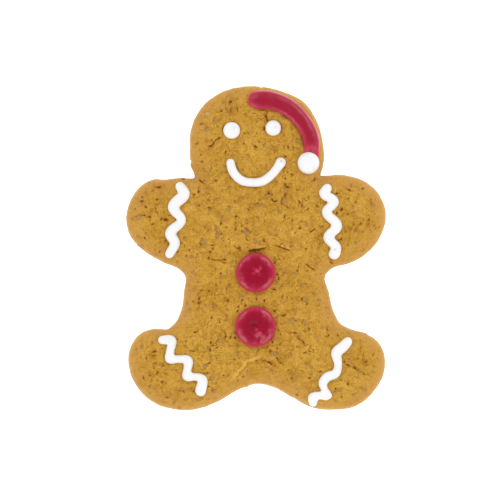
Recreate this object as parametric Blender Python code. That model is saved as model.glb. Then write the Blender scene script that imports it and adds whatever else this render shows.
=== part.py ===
"""Iced gingerbread figure with a Santa hat, lying on its back: one baked biscuit and the icing piped on it.

The figure lies on the XY plane with its head towards +Y and its iced face up (+Z). The origin is the
middle of the footprint, at the level of the board. Every figure below is in millimetres, and
solid_from() turns it into Blender's metres.

The biscuit is a slab whose edge is rounded over: rings of points climb its side, and the top is filled
through points whose height falls with their distance in from the outline. Each piece of icing is built
the same way from the route of the piping nozzle, so it follows the crust below it at a small gap.
"""

import math
import random

import bmesh
import bpy
import numpy as np
from mathutils import Vector, noise
from mathutils.geometry import delaunay_2d_cdt

MM = 0.001

# ---- the biscuit's driving sizes ----
THICKNESS = 9.0  # board to the flat of the top
EDGE_HEIGHT = 3.2  # where the side bulges furthest out
SHOULDER = 4.6  # how far in from the edge the top flattens out
SIDE = ((0.9, 0.0), (0.2, 1.1), (0.0, EDGE_HEIGHT))  # inset and height of the side below the bulge
SHOULDER_ANGLES = (25, 48)  # where on the quarter round above the bulge its rings of points lie
OUTLINE_STEP = 2.1
TOP_STEP = 2.5
UNEVENNESS = 0.16  # rise and fall of the top
UNEVEN_LENGTH = 11.0

# ---- the icing's driving sizes ----
GAP = 0.3  # between the crust and the underside of the icing
ICING_STEP = 0.95
BELLY = 0.35  # share of a bead's or drop's height at which it is widest
BEAD_FOOT = 0.86  # width of a bead's foot over its full width
BEAD_ROWS = (0.5, 0.8)  # where the rows of points on a bead's back run, from its route to its side
DROP_FOOT = 0.92
DROP_ROWS = (0.94, 0.84, 0.68, 0.45)

# ---- the crust's relief ----
SEED = 24
PIT_COUNT = 96
PIT_RADII = (1.25, 0.6)  # largest and smallest of the pits that are modelled
PIT_DEPTH = 0.55  # share of a pit's radius
PIT_FLOOR = 0.45  # size of a pit's floor over its rim
PIT_SPACING = 4.1
PIT_MARGIN = 4.6  # the rounded edge has no pits
FEATURE_STEP = 1.7
FEATURE_SIDE = 0.8  # how far out the rows of points beside a crack or ridge run
PIT_TO_FEATURE = 1.2
PIT_TO_ICING = 0.4
GRID_TO_RIM = 0.45  # how far the even points stay from a pit's rim, in steps
GRID_TO_FEATURE = 0.55
GRID_TO_SHOULDER = 0.35

# The outline of the baked figure, anticlockwise. A smooth curve runs through these points.
OUTLINE = {
    "head": (
        (22.4, 26.6), (23.1, 30.6), (22.8, 34.5), (21.3, 41.3), (16.6, 49.1), (7.4, 53.55),
        (-2.5, 54.9), (-11.4, 52.9), (-18.0, 48.1), (-21.9, 41.0), (-22.4, 32.5), (-22.0, 27.5),
    ),
    "left neck": ((-20.7, 23.85),),
    "left arm": (
        (-25.5, 23.8), (-30.5, 23.2), (-34.5, 23.3), (-38.9, 21.1), (-42.3, 16.5),
        (-44.02, 10.0), (-42.5, 4.0), (-38.4, -0.7), (-31.5, -4.8), (-25.8, -7.4),
    ),
    "left waist": ((-24.0, -9.5), (-24.4, -14.5), (-25.2, -20.6), (-27.5, -25.5), (-30.0, -27.5)),
    "left leg": (
        (-34.5, -27.4), (-39.4, -29.2), (-42.7, -34.0), (-43.2, -39.5), (-40.9, -46.2),
        (-35.7, -51.8), (-28.5, -54.6), (-20.5, -54.7), (-12.9, -52.1), (-6.0, -48.1),
    ),
    "crotch": ((0.5, -46.1),),
    "right leg": (
        (5.5, -47.0), (12.0, -50.5), (19.0, -54.1), (26.0, -54.82), (34.1, -53.5), (40.3, -48.2),
        (43.7, -40.5), (43.0, -34.5), (38.7, -29.6), (32.5, -27.6), (28.8, -25.8),
    ),
    "right waist": ((26.5, -22.0), (24.75, -15.0), (23.45, -9.5)),
    "right arm": (
        (25.5, -7.2), (33.0, -4.7), (39.4, -0.1), (43.3, 6.5), (43.96, 12.5), (41.2, 18.9),
        (34.5, 23.65), (27.5, 24.8), (23.0, 24.4),
    ),
    "right neck": ((21.8, 24.4),),
}

# Doughy folds and cracks in the crust: the points of a line, its depth and its half width.
CRACKS = {
    "left neck fold": (((-21.4, 23.6), (-18.6, 22.4), (-16.2, 19.8)), 0.9, 1.5),
    "right neck fold": (((22.2, 24.4), (17.2, 21.8)), 0.8, 1.4),
    "chest crack": (((10.0, 21.4), (10.1, 16.8)), 0.45, 0.7),
    "breast crack": (((4.1, 18.8), (7.0, 15.5), (10.9, 13.6)), 0.45, 0.7),
    "brow crack": (((3.1, 46.2), (3.9, 43.0)), 0.45, 0.6),
    "cheek crack": (((-16.0, 34.2), (-14.1, 35.2), (-11.8, 37.4)), 0.45, 0.6),
    "right hand crack": (((33.3, 5.5), (36.2, 9.1)), 0.45, 0.6),
    "right foot crack": (((30.1, -39.2), (33.1, -40.4), (37.3, -42.5)), 0.45, 0.7),
    "right heel crack": (((35.9, -31.6), (34.6, -37.2)), 0.45, 0.7),
    "right hip crack": (((12.8, -28.6), (14.3, -30.4), (17.1, -33.1)), 0.45, 0.7),
    "belly crack": (((6.8, -36.5), (8.9, -39.5)), 0.45, 0.7),
    "crotch crescent": (((1.4, -37.7), (4.4, -38.6), (5.6, -40.1)), 0.5, 0.8),
    "left foot hollow": (((-34.9, -34.4), (-34.9, -37.6)), 0.4, 1.3),
}
# Ridges and lifted flakes: the points of a line, the rise, and how far each side of it slopes away.
RIDGES = {
    "left leg ridge": (((-8.8, -45.4), (-3.0, -38.2), (1.4, -36.6)), 0.35, 1.4, 1.4),
    "chest flake": (((6.0, 1.6), (9.1, 0.5), (11.9, -0.8)), 0.4, 2.2, 0.3),
    "middle flake": (((-2.8, -0.8), (0.5, -0.1), (3.8, 0.4)), 0.4, 2.0, 0.3),
}

# Route of the nozzle for each piece of icing, as (x, y, half width), and the bead's height.
RED, WHITE = "red_icing", "white_icing"
PIPING = {
    "hat": (RED, 2.2, (
        (0.6, 50.1, 3.25), (3.6, 50.1, 3.25), (7.5, 49.1, 3.15), (11.55, 47.0, 3.05),
        (15.7, 42.8, 2.9), (18.05, 38.8, 2.85), (18.95, 34.8, 2.8), (18.9, 32.6, 2.65),
    )),
    "smile": (WHITE, 1.5, (
        (-8.6, 28.75, 1.45), (-8.3, 27.2, 1.5), (-7.3, 25.1, 1.5), (-5.0, 22.9, 1.5),
        (-1.1, 22.1, 1.45), (2.1, 22.5, 1.5), (5.0, 24.5, 1.5), (7.0, 26.8, 1.5), (8.35, 28.85, 1.75),
    )),
    "left_cuff": (WHITE, 1.7, (
        (-25.6, 20.7, 1.65), (-24.3, 18.7, 1.9), (-28.0, 13.7, 1.8), (-25.1, 9.5, 1.5),
        (-28.9, 4.7, 1.8), (-27.4, 1.8, 1.7), (-29.2, -2.0, 1.5),
    )),
    "right_cuff": (WHITE, 1.7, (
        (24.0, 20.1, 1.6), (23.0, 18.7, 1.7), (26.4, 15.6, 1.6), (23.8, 12.3, 1.6),
        (27.4, 7.4, 1.7), (24.4, 3.6, 1.7), (27.1, -0.2, 1.7), (26.4, -2.0, 1.9),
    )),
    "left_anklet": (WHITE, 1.6, (
        (-31.6, -31.1, 1.45), (-28.6, -31.2, 1.6), (-29.0, -34.9, 1.4), (-29.1, -37.4, 1.6),
        (-26.4, -37.5, 1.3), (-23.0, -38.0, 1.6), (-23.2, -41.3, 1.4), (-23.4, -43.2, 1.6),
        (-20.3, -43.5, 1.3), (-18.3, -44.2, 1.6), (-18.7, -48.2, 1.85),
    )),
    "right_anklet": (WHITE, 1.6, (
        (30.9, -31.7, 1.6), (29.5, -33.2, 1.8), (27.2, -35.4, 1.85), (27.7, -39.2, 1.35),
        (27.0, -42.2, 1.5), (23.9, -43.7, 1.6), (22.6, -45.5, 1.5), (23.1, -47.8, 1.25),
        (24.2, -49.8, 1.5), (21.2, -49.8, 1.3), (19.2, -50.4, 1.6), (19.3, -52.3, 1.4),
    )),
}

# Single drops of icing: middle, radius, height and how square the shoulder is (2 is an ellipse).
DROPS = {
    "bobble": (WHITE, (17.7, 28.7), 3.7, 2.9, 2.2),
    "left_eye": (WHITE, (-8.2, 39.7), 2.85, 1.6, 2.2),
    "right_eye": (WHITE, (5.8, 40.5), 2.65, 1.6, 2.2),
    "upper_button": (RED, (-0.1, -8.4), 6.65, 2.9, 2.8),
    "lower_button": (RED, (-0.2, -26.6), 6.85, 2.9, 2.8),
}
CUT_BACK_FROM = {"hat": "bobble"}  # the bobble sits on the end of the hat
# Where the nozzle let go of a drop: offset from its middle, radius, and height (a dimple is below 0).
NOZZLE_MARKS = {
    "upper_button": (((0.6, 0.3), 1.3, 0.45),),
    "lower_button": (((1.2, -1.9), 1.3, 0.4), ((-0.3, 0.6), 1.8, -0.3)),
    "left_eye": (((0.9, 0.7), 0.8, -0.15),),
    "right_eye": (((0.7, 0.1), 0.8, -0.15),),
}

# Colour, roughness and coat of each finish.
FINISHES = {
    "gingerbread": ((0.56, 0.30, 0.05), 0.85, 0.0),
    WHITE: ((0.93, 0.93, 0.92), 0.45, 0.0),
    RED: ((0.36, 0.015, 0.045), 0.28, 0.3),
}


# ---- curves ----


def smooth_curve(anchors, step, closed=False):
    """Points at most about a step apart on a smooth curve through the anchors. It keeps each anchor."""
    p = np.array(anchors, float)
    if closed:
        p = np.vstack([p[-1:], p, p[:2]])
    else:
        p = np.vstack([2 * p[0] - p[1], p, 2 * p[-1] - p[-2]])
    leg = np.diff(p, axis=0)
    length = np.linalg.norm(leg[:, :2], axis=1)[:, None]
    slope = (leg[:-1] / length[:-1] * length[1:] + leg[1:] / length[1:] * length[:-1]) / (
        length[:-1] + length[1:]
    )
    points = []
    for i in range(1, len(p) - 2):
        span = length[i, 0]
        count = max(1, round(span / step))
        for t in np.arange(count)[:, None] / count:
            points.append(
                (2 * t**3 - 3 * t**2 + 1) * p[i]
                + (t**3 - 2 * t**2 + t) * span * slope[i - 1]
                + (3 * t**2 - 2 * t**3) * p[i + 1]
                + (t**3 - t**2) * span * slope[i]
            )
    if not closed:
        points.append(p[-2])
    return np.array(points)


def inward(loop):
    """The unit normals of an anticlockwise loop, pointing into it."""
    along = np.roll(loop, -1, axis=0) - np.roll(loop, 1, axis=0)
    normal = np.stack([-along[:, 1], along[:, 0]], axis=1)
    return normal / np.linalg.norm(normal, axis=1)[:, None]


def depth_inside(points, loop):
    """How far each point is inside the loop. It is below 0 outside."""
    ahead = np.roll(loop, -1, axis=0) - loop
    offset = points[:, None, :] - loop[None, :, :]
    share = np.clip((offset * ahead).sum(2) / (ahead**2).sum(1), 0, 1)
    away = np.linalg.norm(offset - share[:, :, None] * ahead, axis=2).min(1)
    crossed = (loop[None, :, 1] > points[:, None, 1]) != (
        np.roll(loop[:, 1], -1)[None, :] > points[:, None, 1]
    )
    with np.errstate(divide="ignore", invalid="ignore"):
        cut = loop[:, 0] + (points[:, None, 1] - loop[:, 1]) / ahead[:, 1] * ahead[:, 0]
    within = (crossed & (points[:, None, 0] < cut)).sum(1) % 2 == 1
    return np.where(within, away, -away)


def beside(points, line):
    """Share of the way along a line of points, and distance to its left, at the nearest spot on it."""
    line = np.array(line)
    ahead = np.diff(line, axis=0)
    length = np.linalg.norm(ahead, axis=1)
    offset = points[:, None, :] - line[None, :-1, :]
    share = np.clip((offset * ahead).sum(2) / length**2, 0, 1)
    away = np.linalg.norm(offset - share[:, :, None] * ahead, axis=2)
    nearest = away.argmin(1)
    pick = np.arange(len(points)), nearest
    before = np.concatenate([[0], np.cumsum(length)])[nearest]
    along = (before + share[pick] * length[nearest]) / length.sum()
    turn = offset[pick][:, 1] * ahead[nearest, 0] - offset[pick][:, 0] * ahead[nearest, 1]
    return along, np.where(turn > 0, away[pick], -away[pick])


def thinned(points, step):
    """The points, less each one that is nearer than a step to an earlier one."""
    kept = []
    for point in points:
        if all(math.dist(point, other) >= step for other in kept):
            kept.append(point)
    return np.array(kept)


# ---- the crust ----


def figure_outline():
    anchors = [point for stretch in OUTLINE.values() for point in stretch]
    return smooth_curve(anchors, OUTLINE_STEP, closed=True)


def crust_height(points, outline):
    """Height of the crust's top, before its cracks, ridges and pits."""
    rise = np.clip(depth_inside(points, outline) / SHOULDER, 0, 1)
    height = EDGE_HEIGHT + (THICKNESS - EDGE_HEIGHT) * np.sqrt(1 - (1 - rise) ** 2)
    bumps = [noise.noise(Vector((x / UNEVEN_LENGTH, y / UNEVEN_LENGTH, SEED))) for x, y in points]
    return height + UNEVENNESS * rise * np.array(bumps)


def crack_depth(points):
    """How far the folds and cracks press the crust in."""
    depth = np.zeros(len(points))
    for line, deepest, width in CRACKS.values():
        _, left = beside(points, line)
        depth = np.maximum(depth, deepest * np.exp(-1.6 * (left / width) ** 2))
    return depth


def ridge_rise(points):
    """How far the ridges and lifted flakes stand up. They fade towards both ends."""
    rise = np.zeros(len(points))
    for line, height, left_slope, right_slope in RIDGES.values():
        along, left = beside(points, line)
        across = np.where(left > 0, left / left_slope, -left / right_slope)
        rise = np.maximum(rise, height * 4 * along * (1 - along) * np.exp(-across))
    return rise


def feature_points():
    """Points along each crack and ridge and on both sides of it, so that the triangles follow them."""
    points = []
    lines = [line for line, *_ in (*CRACKS.values(), *RIDGES.values())]
    for line in lines:
        route = smooth_curve(line, FEATURE_STEP)
        ahead = np.gradient(route, axis=0)
        ahead /= np.linalg.norm(ahead, axis=1)[:, None]
        side = np.stack([-ahead[:, 1], ahead[:, 0]], axis=1) * FEATURE_SIDE
        points += [route, route + side, route - side]
    return np.vstack(points)


def scatter_pits(outline, covered, features):
    """Middle, radius, stretch and turn of each pit, largest first, spread over the bare crust."""
    draw = random.Random(SEED)
    low, high = outline.min(0), outline.max(0)
    pits = []
    while len(pits) < PIT_COUNT:
        spot = np.array([draw.uniform(low[axis], high[axis]) for axis in (0, 1)])
        shade = len(pits) / PIT_COUNT
        radius = PIT_RADII[0] + (PIT_RADII[1] - PIT_RADII[0]) * shade**0.5
        stretch, turn = draw.uniform(0.55, 0.9), draw.uniform(0, math.pi)
        if depth_inside(spot[None], outline)[0] < PIT_MARGIN:
            continue
        if np.linalg.norm(features - spot, axis=1).min() < radius + PIT_TO_FEATURE:
            continue
        if any(math.dist(spot, pit[0]) < PIT_SPACING for pit in pits):
            continue
        if (np.linalg.norm(covered[:, :2] - spot, axis=1) - covered[:, 2]).min() < radius + PIT_TO_ICING:
            continue
        pits.append((spot, radius, stretch, turn))
    return pits


def pit_points(pit, share, count):
    """A ring of points round a pit, at this share of its radius."""
    middle, radius, stretch, turn = pit
    angle = np.arange(count) / count * 2 * math.pi
    ring = np.stack([np.cos(angle), stretch * np.sin(angle)], axis=1) * radius * share
    spin = np.array([[math.cos(turn), math.sin(turn)], [-math.sin(turn), math.cos(turn)]])
    return middle + ring @ spin


def hexagonal_grid(outline, step):
    """Points of a triangular grid over the outline's box."""
    low, high = outline.min(0), outline.max(0)
    rows = np.arange(low[1], high[1], step * math.sqrt(0.75))
    grid = [
        (x, y)
        for row, y in enumerate(rows)
        for x in np.arange(low[0] + step / 2 * (row % 2), high[0], step)
    ]
    return np.array(grid)


# ---- solids ----


def fill(loop, inner):
    """Triangles in plan inside a loop, through the inner points. They index the loop, then the inner."""
    flat = [Vector(point[:2]) for point in (*loop, *inner)]
    border = [list(range(len(loop)))]
    _, _, faces, origin, _, _ = delaunay_2d_cdt(flat, [], border, 1, 1e-7)
    return [tuple(origin[corner][0] for corner in face) for face in faces]


def solid_from(name, finish, rings, top, bottom):
    """One closed solid from rings of points, foot first, and the inner points of its top and bottom."""
    count = len(rings[0])
    points = np.vstack([*rings, top, bottom])
    faces = []
    for base in range(0, (len(rings) - 1) * count, count):
        for i in range(count):
            j = (i + 1) % count
            faces.append((base + i, base + j, base + count + j, base + count + i))
    top_index = range((len(rings) - 1) * count, len(rings) * count + len(top))
    bottom_index = [*range(count), *range(top_index.stop, len(points))]
    faces += [tuple(top_index[c] for c in face) for face in fill(rings[-1], top)]
    faces += [tuple(bottom_index[c] for c in reversed(face)) for face in fill(rings[0], bottom)]

    mesh = bpy.data.meshes.new(name)
    mesh.from_pydata([Vector(point) * MM for point in points], [], faces)
    body = bmesh.new()
    body.from_mesh(mesh)
    bmesh.ops.recalc_face_normals(body, faces=body.faces)
    body.to_mesh(mesh)
    body.free()
    mesh.shade_smooth()
    mesh.set_sharp_from_angle(angle=math.radians(50))
    mesh.materials.append(bpy.data.materials[finish])
    piece = bpy.data.objects.new(name, mesh)
    bpy.context.scene.collection.objects.link(piece)
    return piece


def with_height(points, height):
    """Points in plan, raised to a height each or to one height for all."""
    return np.column_stack([points, np.broadcast_to(height, len(points))])


def biscuit_rings(outline):
    """Rings of points up the biscuit's side and over its shoulder, to where the filled top begins."""
    normals = inward(outline)
    rings = [with_height(outline + normals * inset, height) for inset, height in SIDE]
    for angle in SHOULDER_ANGLES:
        ring = outline + normals * SHOULDER * (1 - math.cos(math.radians(angle)))
        rings.append(with_height(ring, crust_height(ring, outline) - crack_depth(ring)))
    return rings


def build_biscuit(outline, covered):
    """The baked slab: a flat foot, a rounded side and a top with cracks, ridges and pits."""
    rings = biscuit_rings(outline)
    features = feature_points()
    pits = scatter_pits(outline, covered, features)
    grid = hexagonal_grid(outline, TOP_STEP)
    grid = grid[np.linalg.norm(grid[:, None] - features, axis=2).min(1) > GRID_TO_FEATURE * TOP_STEP]
    for middle, radius, _, _ in pits:
        grid = grid[np.linalg.norm(grid - middle, axis=1) > radius + GRID_TO_RIM * TOP_STEP]
    inner = [thinned(features, FEATURE_SIDE / 2), grid]
    inner += [pit_points(pit, 1.0, 6) for pit in pits]
    inner += [pit_points(pit, PIT_FLOOR, 3) for pit in pits]
    inner = np.vstack(inner)
    last_inset = SHOULDER * (1 - math.cos(math.radians(SHOULDER_ANGLES[-1])))
    inner = inner[depth_inside(inner, outline) > last_inset + GRID_TO_SHOULDER * TOP_STEP]

    height = crust_height(inner, outline) - crack_depth(inner) + ridge_rise(inner)
    for middle, radius, _, _ in pits:
        in_floor = np.linalg.norm(inner - middle, axis=1) < radius / 2
        height -= np.where(in_floor, PIT_DEPTH * radius, 0.0)
    return solid_from("biscuit", "gingerbread", rings, with_height(inner, height), np.empty((0, 3)))


# ---- the icing ----


def seat(points, outline):
    """Height of the underside of the icing over the crust."""
    return crust_height(points, outline) + GAP


def icing_solid(name, finish, height, plan, dome, outline):
    """A solid of icing from its plan: outline, foot, back and keel. Dome is the rise of the back, 0 to 1."""
    loop, foot, back, keel = plan
    rings = [
        with_height(foot, seat(foot, outline)),
        with_height(loop, seat(loop, outline) + BELLY * height),
    ]
    crown = with_height(back, seat(back, outline) + height * (BELLY + (1 - BELLY) * dome))
    return solid_from(name, finish, rings, crown, with_height(keel, seat(keel, outline)))


def reach_from(points, route):
    """Distance of each point from each spot of a route, over the half width there."""
    return np.linalg.norm(points[:, None] - route[None, :, :2], axis=2) / route[None, :, 2]


def bead_outline(route):
    """The outline in plan of a bead piped along a route: its two sides and its round ends."""
    along = np.gradient(route[:, :2], axis=0)
    along /= np.linalg.norm(along, axis=1)[:, None]
    left = np.stack([-along[:, 1], along[:, 0]], axis=1)
    half = route[:, 2:3]
    ends = []
    for (x, y, radius), heading in ((route[-1], along[-1]), (route[0], -along[0])):
        count = max(3, round(math.pi * radius / ICING_STEP))
        turn = math.atan2(heading[1], heading[0]) + (np.arange(1, count) / count - 0.5) * math.pi
        ends.append(np.stack([x + radius * np.cos(turn), y + radius * np.sin(turn)], axis=1))
    right_side = route[:, :2] - left * half
    left_side = (route[:, :2] + left * half)[::-1]
    loop = np.vstack([right_side, ends[0], left_side, ends[1]])
    loop = loop[reach_from(loop, route).min(1) > 0.97]
    apart = np.linalg.norm(loop - np.roll(loop, 1, axis=0), axis=1)
    return loop[apart > 0.3 * ICING_STEP]


def towards_route(loop, route, share):
    """The loop drawn in to this share of its distance from the route."""
    nearest = route[reach_from(loop, route).argmin(1), :2]
    return nearest + (loop - nearest) * share


def pushed_out(loop, middle, radius):
    """The loop with each point that lies in a disc moved out to its rim."""
    offset = loop - middle
    away = np.linalg.norm(offset, axis=1)[:, None]
    return np.where(away < radius, middle + offset / away * radius, loop)


def build_bead(name, finish, height, route, outline):
    """A bead of icing with a rounded back, along a smooth route of (x, y, half width)."""
    loop = bead_outline(route)
    foot = towards_route(loop, route, BEAD_FOOT)
    back = np.vstack([route[:, :2], *(towards_route(loop, route, share) for share in BEAD_ROWS)])
    if name in CUT_BACK_FROM:
        _, middle, radius, _, _ = DROPS[CUT_BACK_FROM[name]]
        loop = pushed_out(loop, middle, radius + GAP)
        foot = pushed_out(foot, middle, radius + GAP)
        back = back[np.linalg.norm(back - middle, axis=1) > radius + 2 * GAP]
    back = thinned(back, ICING_STEP / 2)
    back = back[depth_inside(back, loop) > ICING_STEP / 5]
    keel = route[depth_inside(route[:, :2], foot) > 0.4 * ICING_STEP, :2]
    keel = thinned(keel, 0.8 * ICING_STEP)
    dome = np.sqrt(1 - np.clip(reach_from(back, route).min(1), 0, 1) ** 2)
    return icing_solid(name, finish, height, (loop, foot, back, keel), dome, outline)


def circle(middle, radius, count):
    angle = np.arange(count) / count * 2 * math.pi
    return middle + radius * np.stack([np.cos(angle), np.sin(angle)], axis=1)


def build_drop(name, finish, middle, radius, height, squareness, outline):
    """A round drop of icing, with the marks that the nozzle left on it."""
    middle = np.array(middle)
    count = max(16, round(2 * math.pi * radius / ICING_STEP))
    marks = [(middle + offset, reach, rise) for offset, reach, rise in NOZZLE_MARKS.get(name, ())]
    back = [middle[None]]
    for spot, reach, _ in marks:
        back += [spot[None], circle(spot, reach * 0.45, 6), circle(spot, reach, 6)]
    back += [circle(middle, radius * share, count) for share in DROP_ROWS]
    back = thinned(np.vstack(back), 0.6 * ICING_STEP)
    share = np.linalg.norm(back - middle, axis=1) / radius
    dome = (1 - share**squareness) ** (1 / squareness)
    for spot, reach, rise in marks:
        away = np.linalg.norm(back - spot, axis=1) / reach
        dome += rise / height * np.exp(-2.5 * away**2)
    keel = np.vstack([middle, circle(middle, radius / 2, count // 3)])
    plan = circle(middle, radius, count), circle(middle, radius * DROP_FOOT, count), back, keel
    return icing_solid(name, finish, height, plan, dome, outline)


def make_finishes():
    """One Principled material for each finish."""
    for name, (colour, roughness, coat) in FINISHES.items():
        material = bpy.data.materials.new(name)
        material.use_nodes = True
        shader = material.node_tree.nodes["Principled BSDF"]
        shader.inputs["Base Color"].default_value = (*colour, 1)
        shader.inputs["Roughness"].default_value = roughness
        shader.inputs["Metallic"].default_value = 0.0
        shader.inputs["Coat Weight"].default_value = coat


for old in list(bpy.data.objects):
    bpy.data.objects.remove(old)
make_finishes()
figure = figure_outline()
routes = {name: smooth_curve(route, ICING_STEP) for name, (_, _, route) in PIPING.items()}
discs = [(*middle, radius) for _, middle, radius, _, _ in DROPS.values()]
build_biscuit(figure, np.vstack([*routes.values(), discs]))
for bead, (icing, bead_height, _) in PIPING.items():
    build_bead(bead, icing, bead_height, routes[bead], figure)
for drop, (icing, *shape) in DROPS.items():
    build_drop(drop, icing, *shape, figure)
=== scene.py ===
"""Looks of an iced gingerbread figure with a Santa hat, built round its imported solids.

The figure lies face up on a pale floor. One operator bakes the biscuit, the next ones pipe its icing, and
the last sets up the studio. Each piece takes its outline from the solid that it stands for. Figures in
the code are millimetres, and put_together() turns them into metres. Properties are in metres.
"""

import math
import random
from collections import namedtuple

import bpy
import numpy as np
from bpy.props import FloatProperty, FloatVectorProperty, IntProperty, PointerProperty
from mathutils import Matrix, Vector, kdtree, noise
from mathutils.geometry import delaunay_2d_cdt


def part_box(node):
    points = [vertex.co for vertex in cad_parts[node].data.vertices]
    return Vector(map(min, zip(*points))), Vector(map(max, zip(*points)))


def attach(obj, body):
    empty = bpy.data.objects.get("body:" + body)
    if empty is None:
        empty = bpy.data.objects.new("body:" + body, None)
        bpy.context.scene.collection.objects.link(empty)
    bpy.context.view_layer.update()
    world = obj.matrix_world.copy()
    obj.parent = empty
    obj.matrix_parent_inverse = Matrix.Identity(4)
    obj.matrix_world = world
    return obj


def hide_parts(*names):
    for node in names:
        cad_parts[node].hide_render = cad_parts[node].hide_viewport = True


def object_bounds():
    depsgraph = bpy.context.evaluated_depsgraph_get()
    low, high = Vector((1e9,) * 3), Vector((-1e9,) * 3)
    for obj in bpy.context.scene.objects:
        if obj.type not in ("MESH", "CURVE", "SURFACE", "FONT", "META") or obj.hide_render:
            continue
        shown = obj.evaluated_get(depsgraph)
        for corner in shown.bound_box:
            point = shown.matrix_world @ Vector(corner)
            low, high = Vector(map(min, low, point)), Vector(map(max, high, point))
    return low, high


bl_info = {
    "name": "Iced Gingerbread Figure",
    "version": (1, 0, 0),
    "blender": (4, 5, 0),
    "location": "View3D > Sidebar > Gingerbread",
    "description": "Bakes a gingerbread figure with a Santa hat, pipes its icing and lights it",
    "category": "Add Mesh",
}

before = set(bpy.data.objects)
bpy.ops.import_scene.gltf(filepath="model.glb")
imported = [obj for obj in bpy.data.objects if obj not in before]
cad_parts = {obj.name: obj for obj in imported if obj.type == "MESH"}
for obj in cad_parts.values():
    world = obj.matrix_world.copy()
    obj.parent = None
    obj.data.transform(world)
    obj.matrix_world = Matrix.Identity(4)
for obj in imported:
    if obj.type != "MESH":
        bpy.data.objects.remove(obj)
cad_box = [list(corner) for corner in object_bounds()]

MM = 0.001

# ---- the biscuit's form, as in its solid ----
THICKNESS = 9.0
EDGE_HEIGHT = 3.2  # where the side bulges furthest out
SHOULDER = 4.6  # how far in from the edge the top flattens out
RIM = 6.5  # how far in the paler dough of the edge reaches
SIDE = ((0.9, 0.0), (0.45, 0.45), (0.2, 1.1), (0.0, EDGE_HEIGHT))  # inset and height below the bulge
SHOULDER_END = math.radians(48)  # where on the quarter round above the bulge the filled top begins
ARC_RINGS = 11
UNEVENNESS = 0.16  # rise and fall of the top
UNEVEN_LENGTH = 11.0
UNEVEN_SEED = 24

# Doughy folds and cracks: the points of a line, its depth and its half width.
CRACKS = {
    "left neck fold": (((-21.4, 23.6), (-18.6, 22.4), (-16.2, 19.8)), 0.9, 1.5),
    "right neck fold": (((22.2, 24.4), (17.2, 21.8)), 0.8, 1.4),
    "chest crack": (((10.0, 21.4), (10.1, 16.8)), 0.45, 0.7),
    "breast crack": (((4.1, 18.8), (7.0, 15.5), (10.9, 13.6)), 0.45, 0.7),
    "brow crack": (((3.1, 46.2), (3.9, 43.0)), 0.45, 0.6),
    "cheek crack": (((-16.0, 34.2), (-14.1, 35.2), (-11.8, 37.4)), 0.45, 0.6),
    "right hand crack": (((33.3, 5.5), (36.2, 9.1)), 0.45, 0.6),
    "right foot crack": (((30.1, -39.2), (33.1, -40.4), (37.3, -42.5)), 0.45, 0.7),
    "right heel crack": (((35.9, -31.6), (34.6, -37.2)), 0.45, 0.7),
    "right hip crack": (((12.8, -28.6), (14.3, -30.4), (17.1, -33.1)), 0.45, 0.7),
    "belly crack": (((6.8, -36.5), (8.9, -39.5)), 0.45, 0.7),
    "crotch crescent": (((1.4, -37.7), (4.4, -38.6), (5.6, -40.1)), 0.5, 0.8),
    "left foot hollow": (((-34.9, -34.4), (-34.9, -37.6)), 0.4, 1.3),
}
# Ridges and lifted flakes: the points of a line, the rise, and how far each side of it slopes away.
RIDGES = {
    "left leg ridge": (
        ((-9.0, -45.8), (-6.2, -42.2), (-3.2, -38.4), (-0.4, -37.5), (3.2, -36.1)), 0.35, 1.4, 1.4
    ),
    "chest flake": (((6.0, 1.6), (9.1, 0.5), (11.9, -0.8)), 0.4, 2.2, 0.3),
    "middle flake": (((-2.8, -0.8), (0.5, -0.1), (3.8, 0.4)), 0.4, 2.0, 0.3),
    "right armpit flake": (((16.6, -5.4), (18.4, -6.3), (20.6, -7.2)), 0.24, 1.6, 0.3),
    "left armpit flake": (((-15.8, -3.2), (-12.6, -3.9), (-9.4, -4.8)), 0.14, 1.6, 0.4),
    "left side flake": (((-7.4, 1.3), (-5.9, 0.1), (-4.4, -1.2)), 0.25, 1.4, 0.4),
}

FOLD_FALLOFF = 1.6  # how fast the press of a fold or crack ends at its sides
FLAKE_SLOPE = 0.5  # a ridge with a side steeper than this is a flake, with a painted shadow in the gap under it
FULL_FLAKE = 0.4  # a flake that rises this far has its full painted lip highlight and gap shadow
FLAKE_LIP_HIGHLIGHT = (0.15, 0.45)  # how far inside the line a flake's painted lip highlight lies, and its half width
RIDGE_HIGHLIGHT = (0.78, 0.7)  # strength of a ridge's painted crest highlight, and its half width
GAP_SHADOW = 0.65  # how dark the painted shadow in the gap under a flake is
GAP_WIDTH = 0.36  # half width of the painted shade under a ridge and of the painted shadow in the gap under a flake
BREAK_SIZE = 1.3  # size of the pieces that ridges and flakes are broken into
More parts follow.
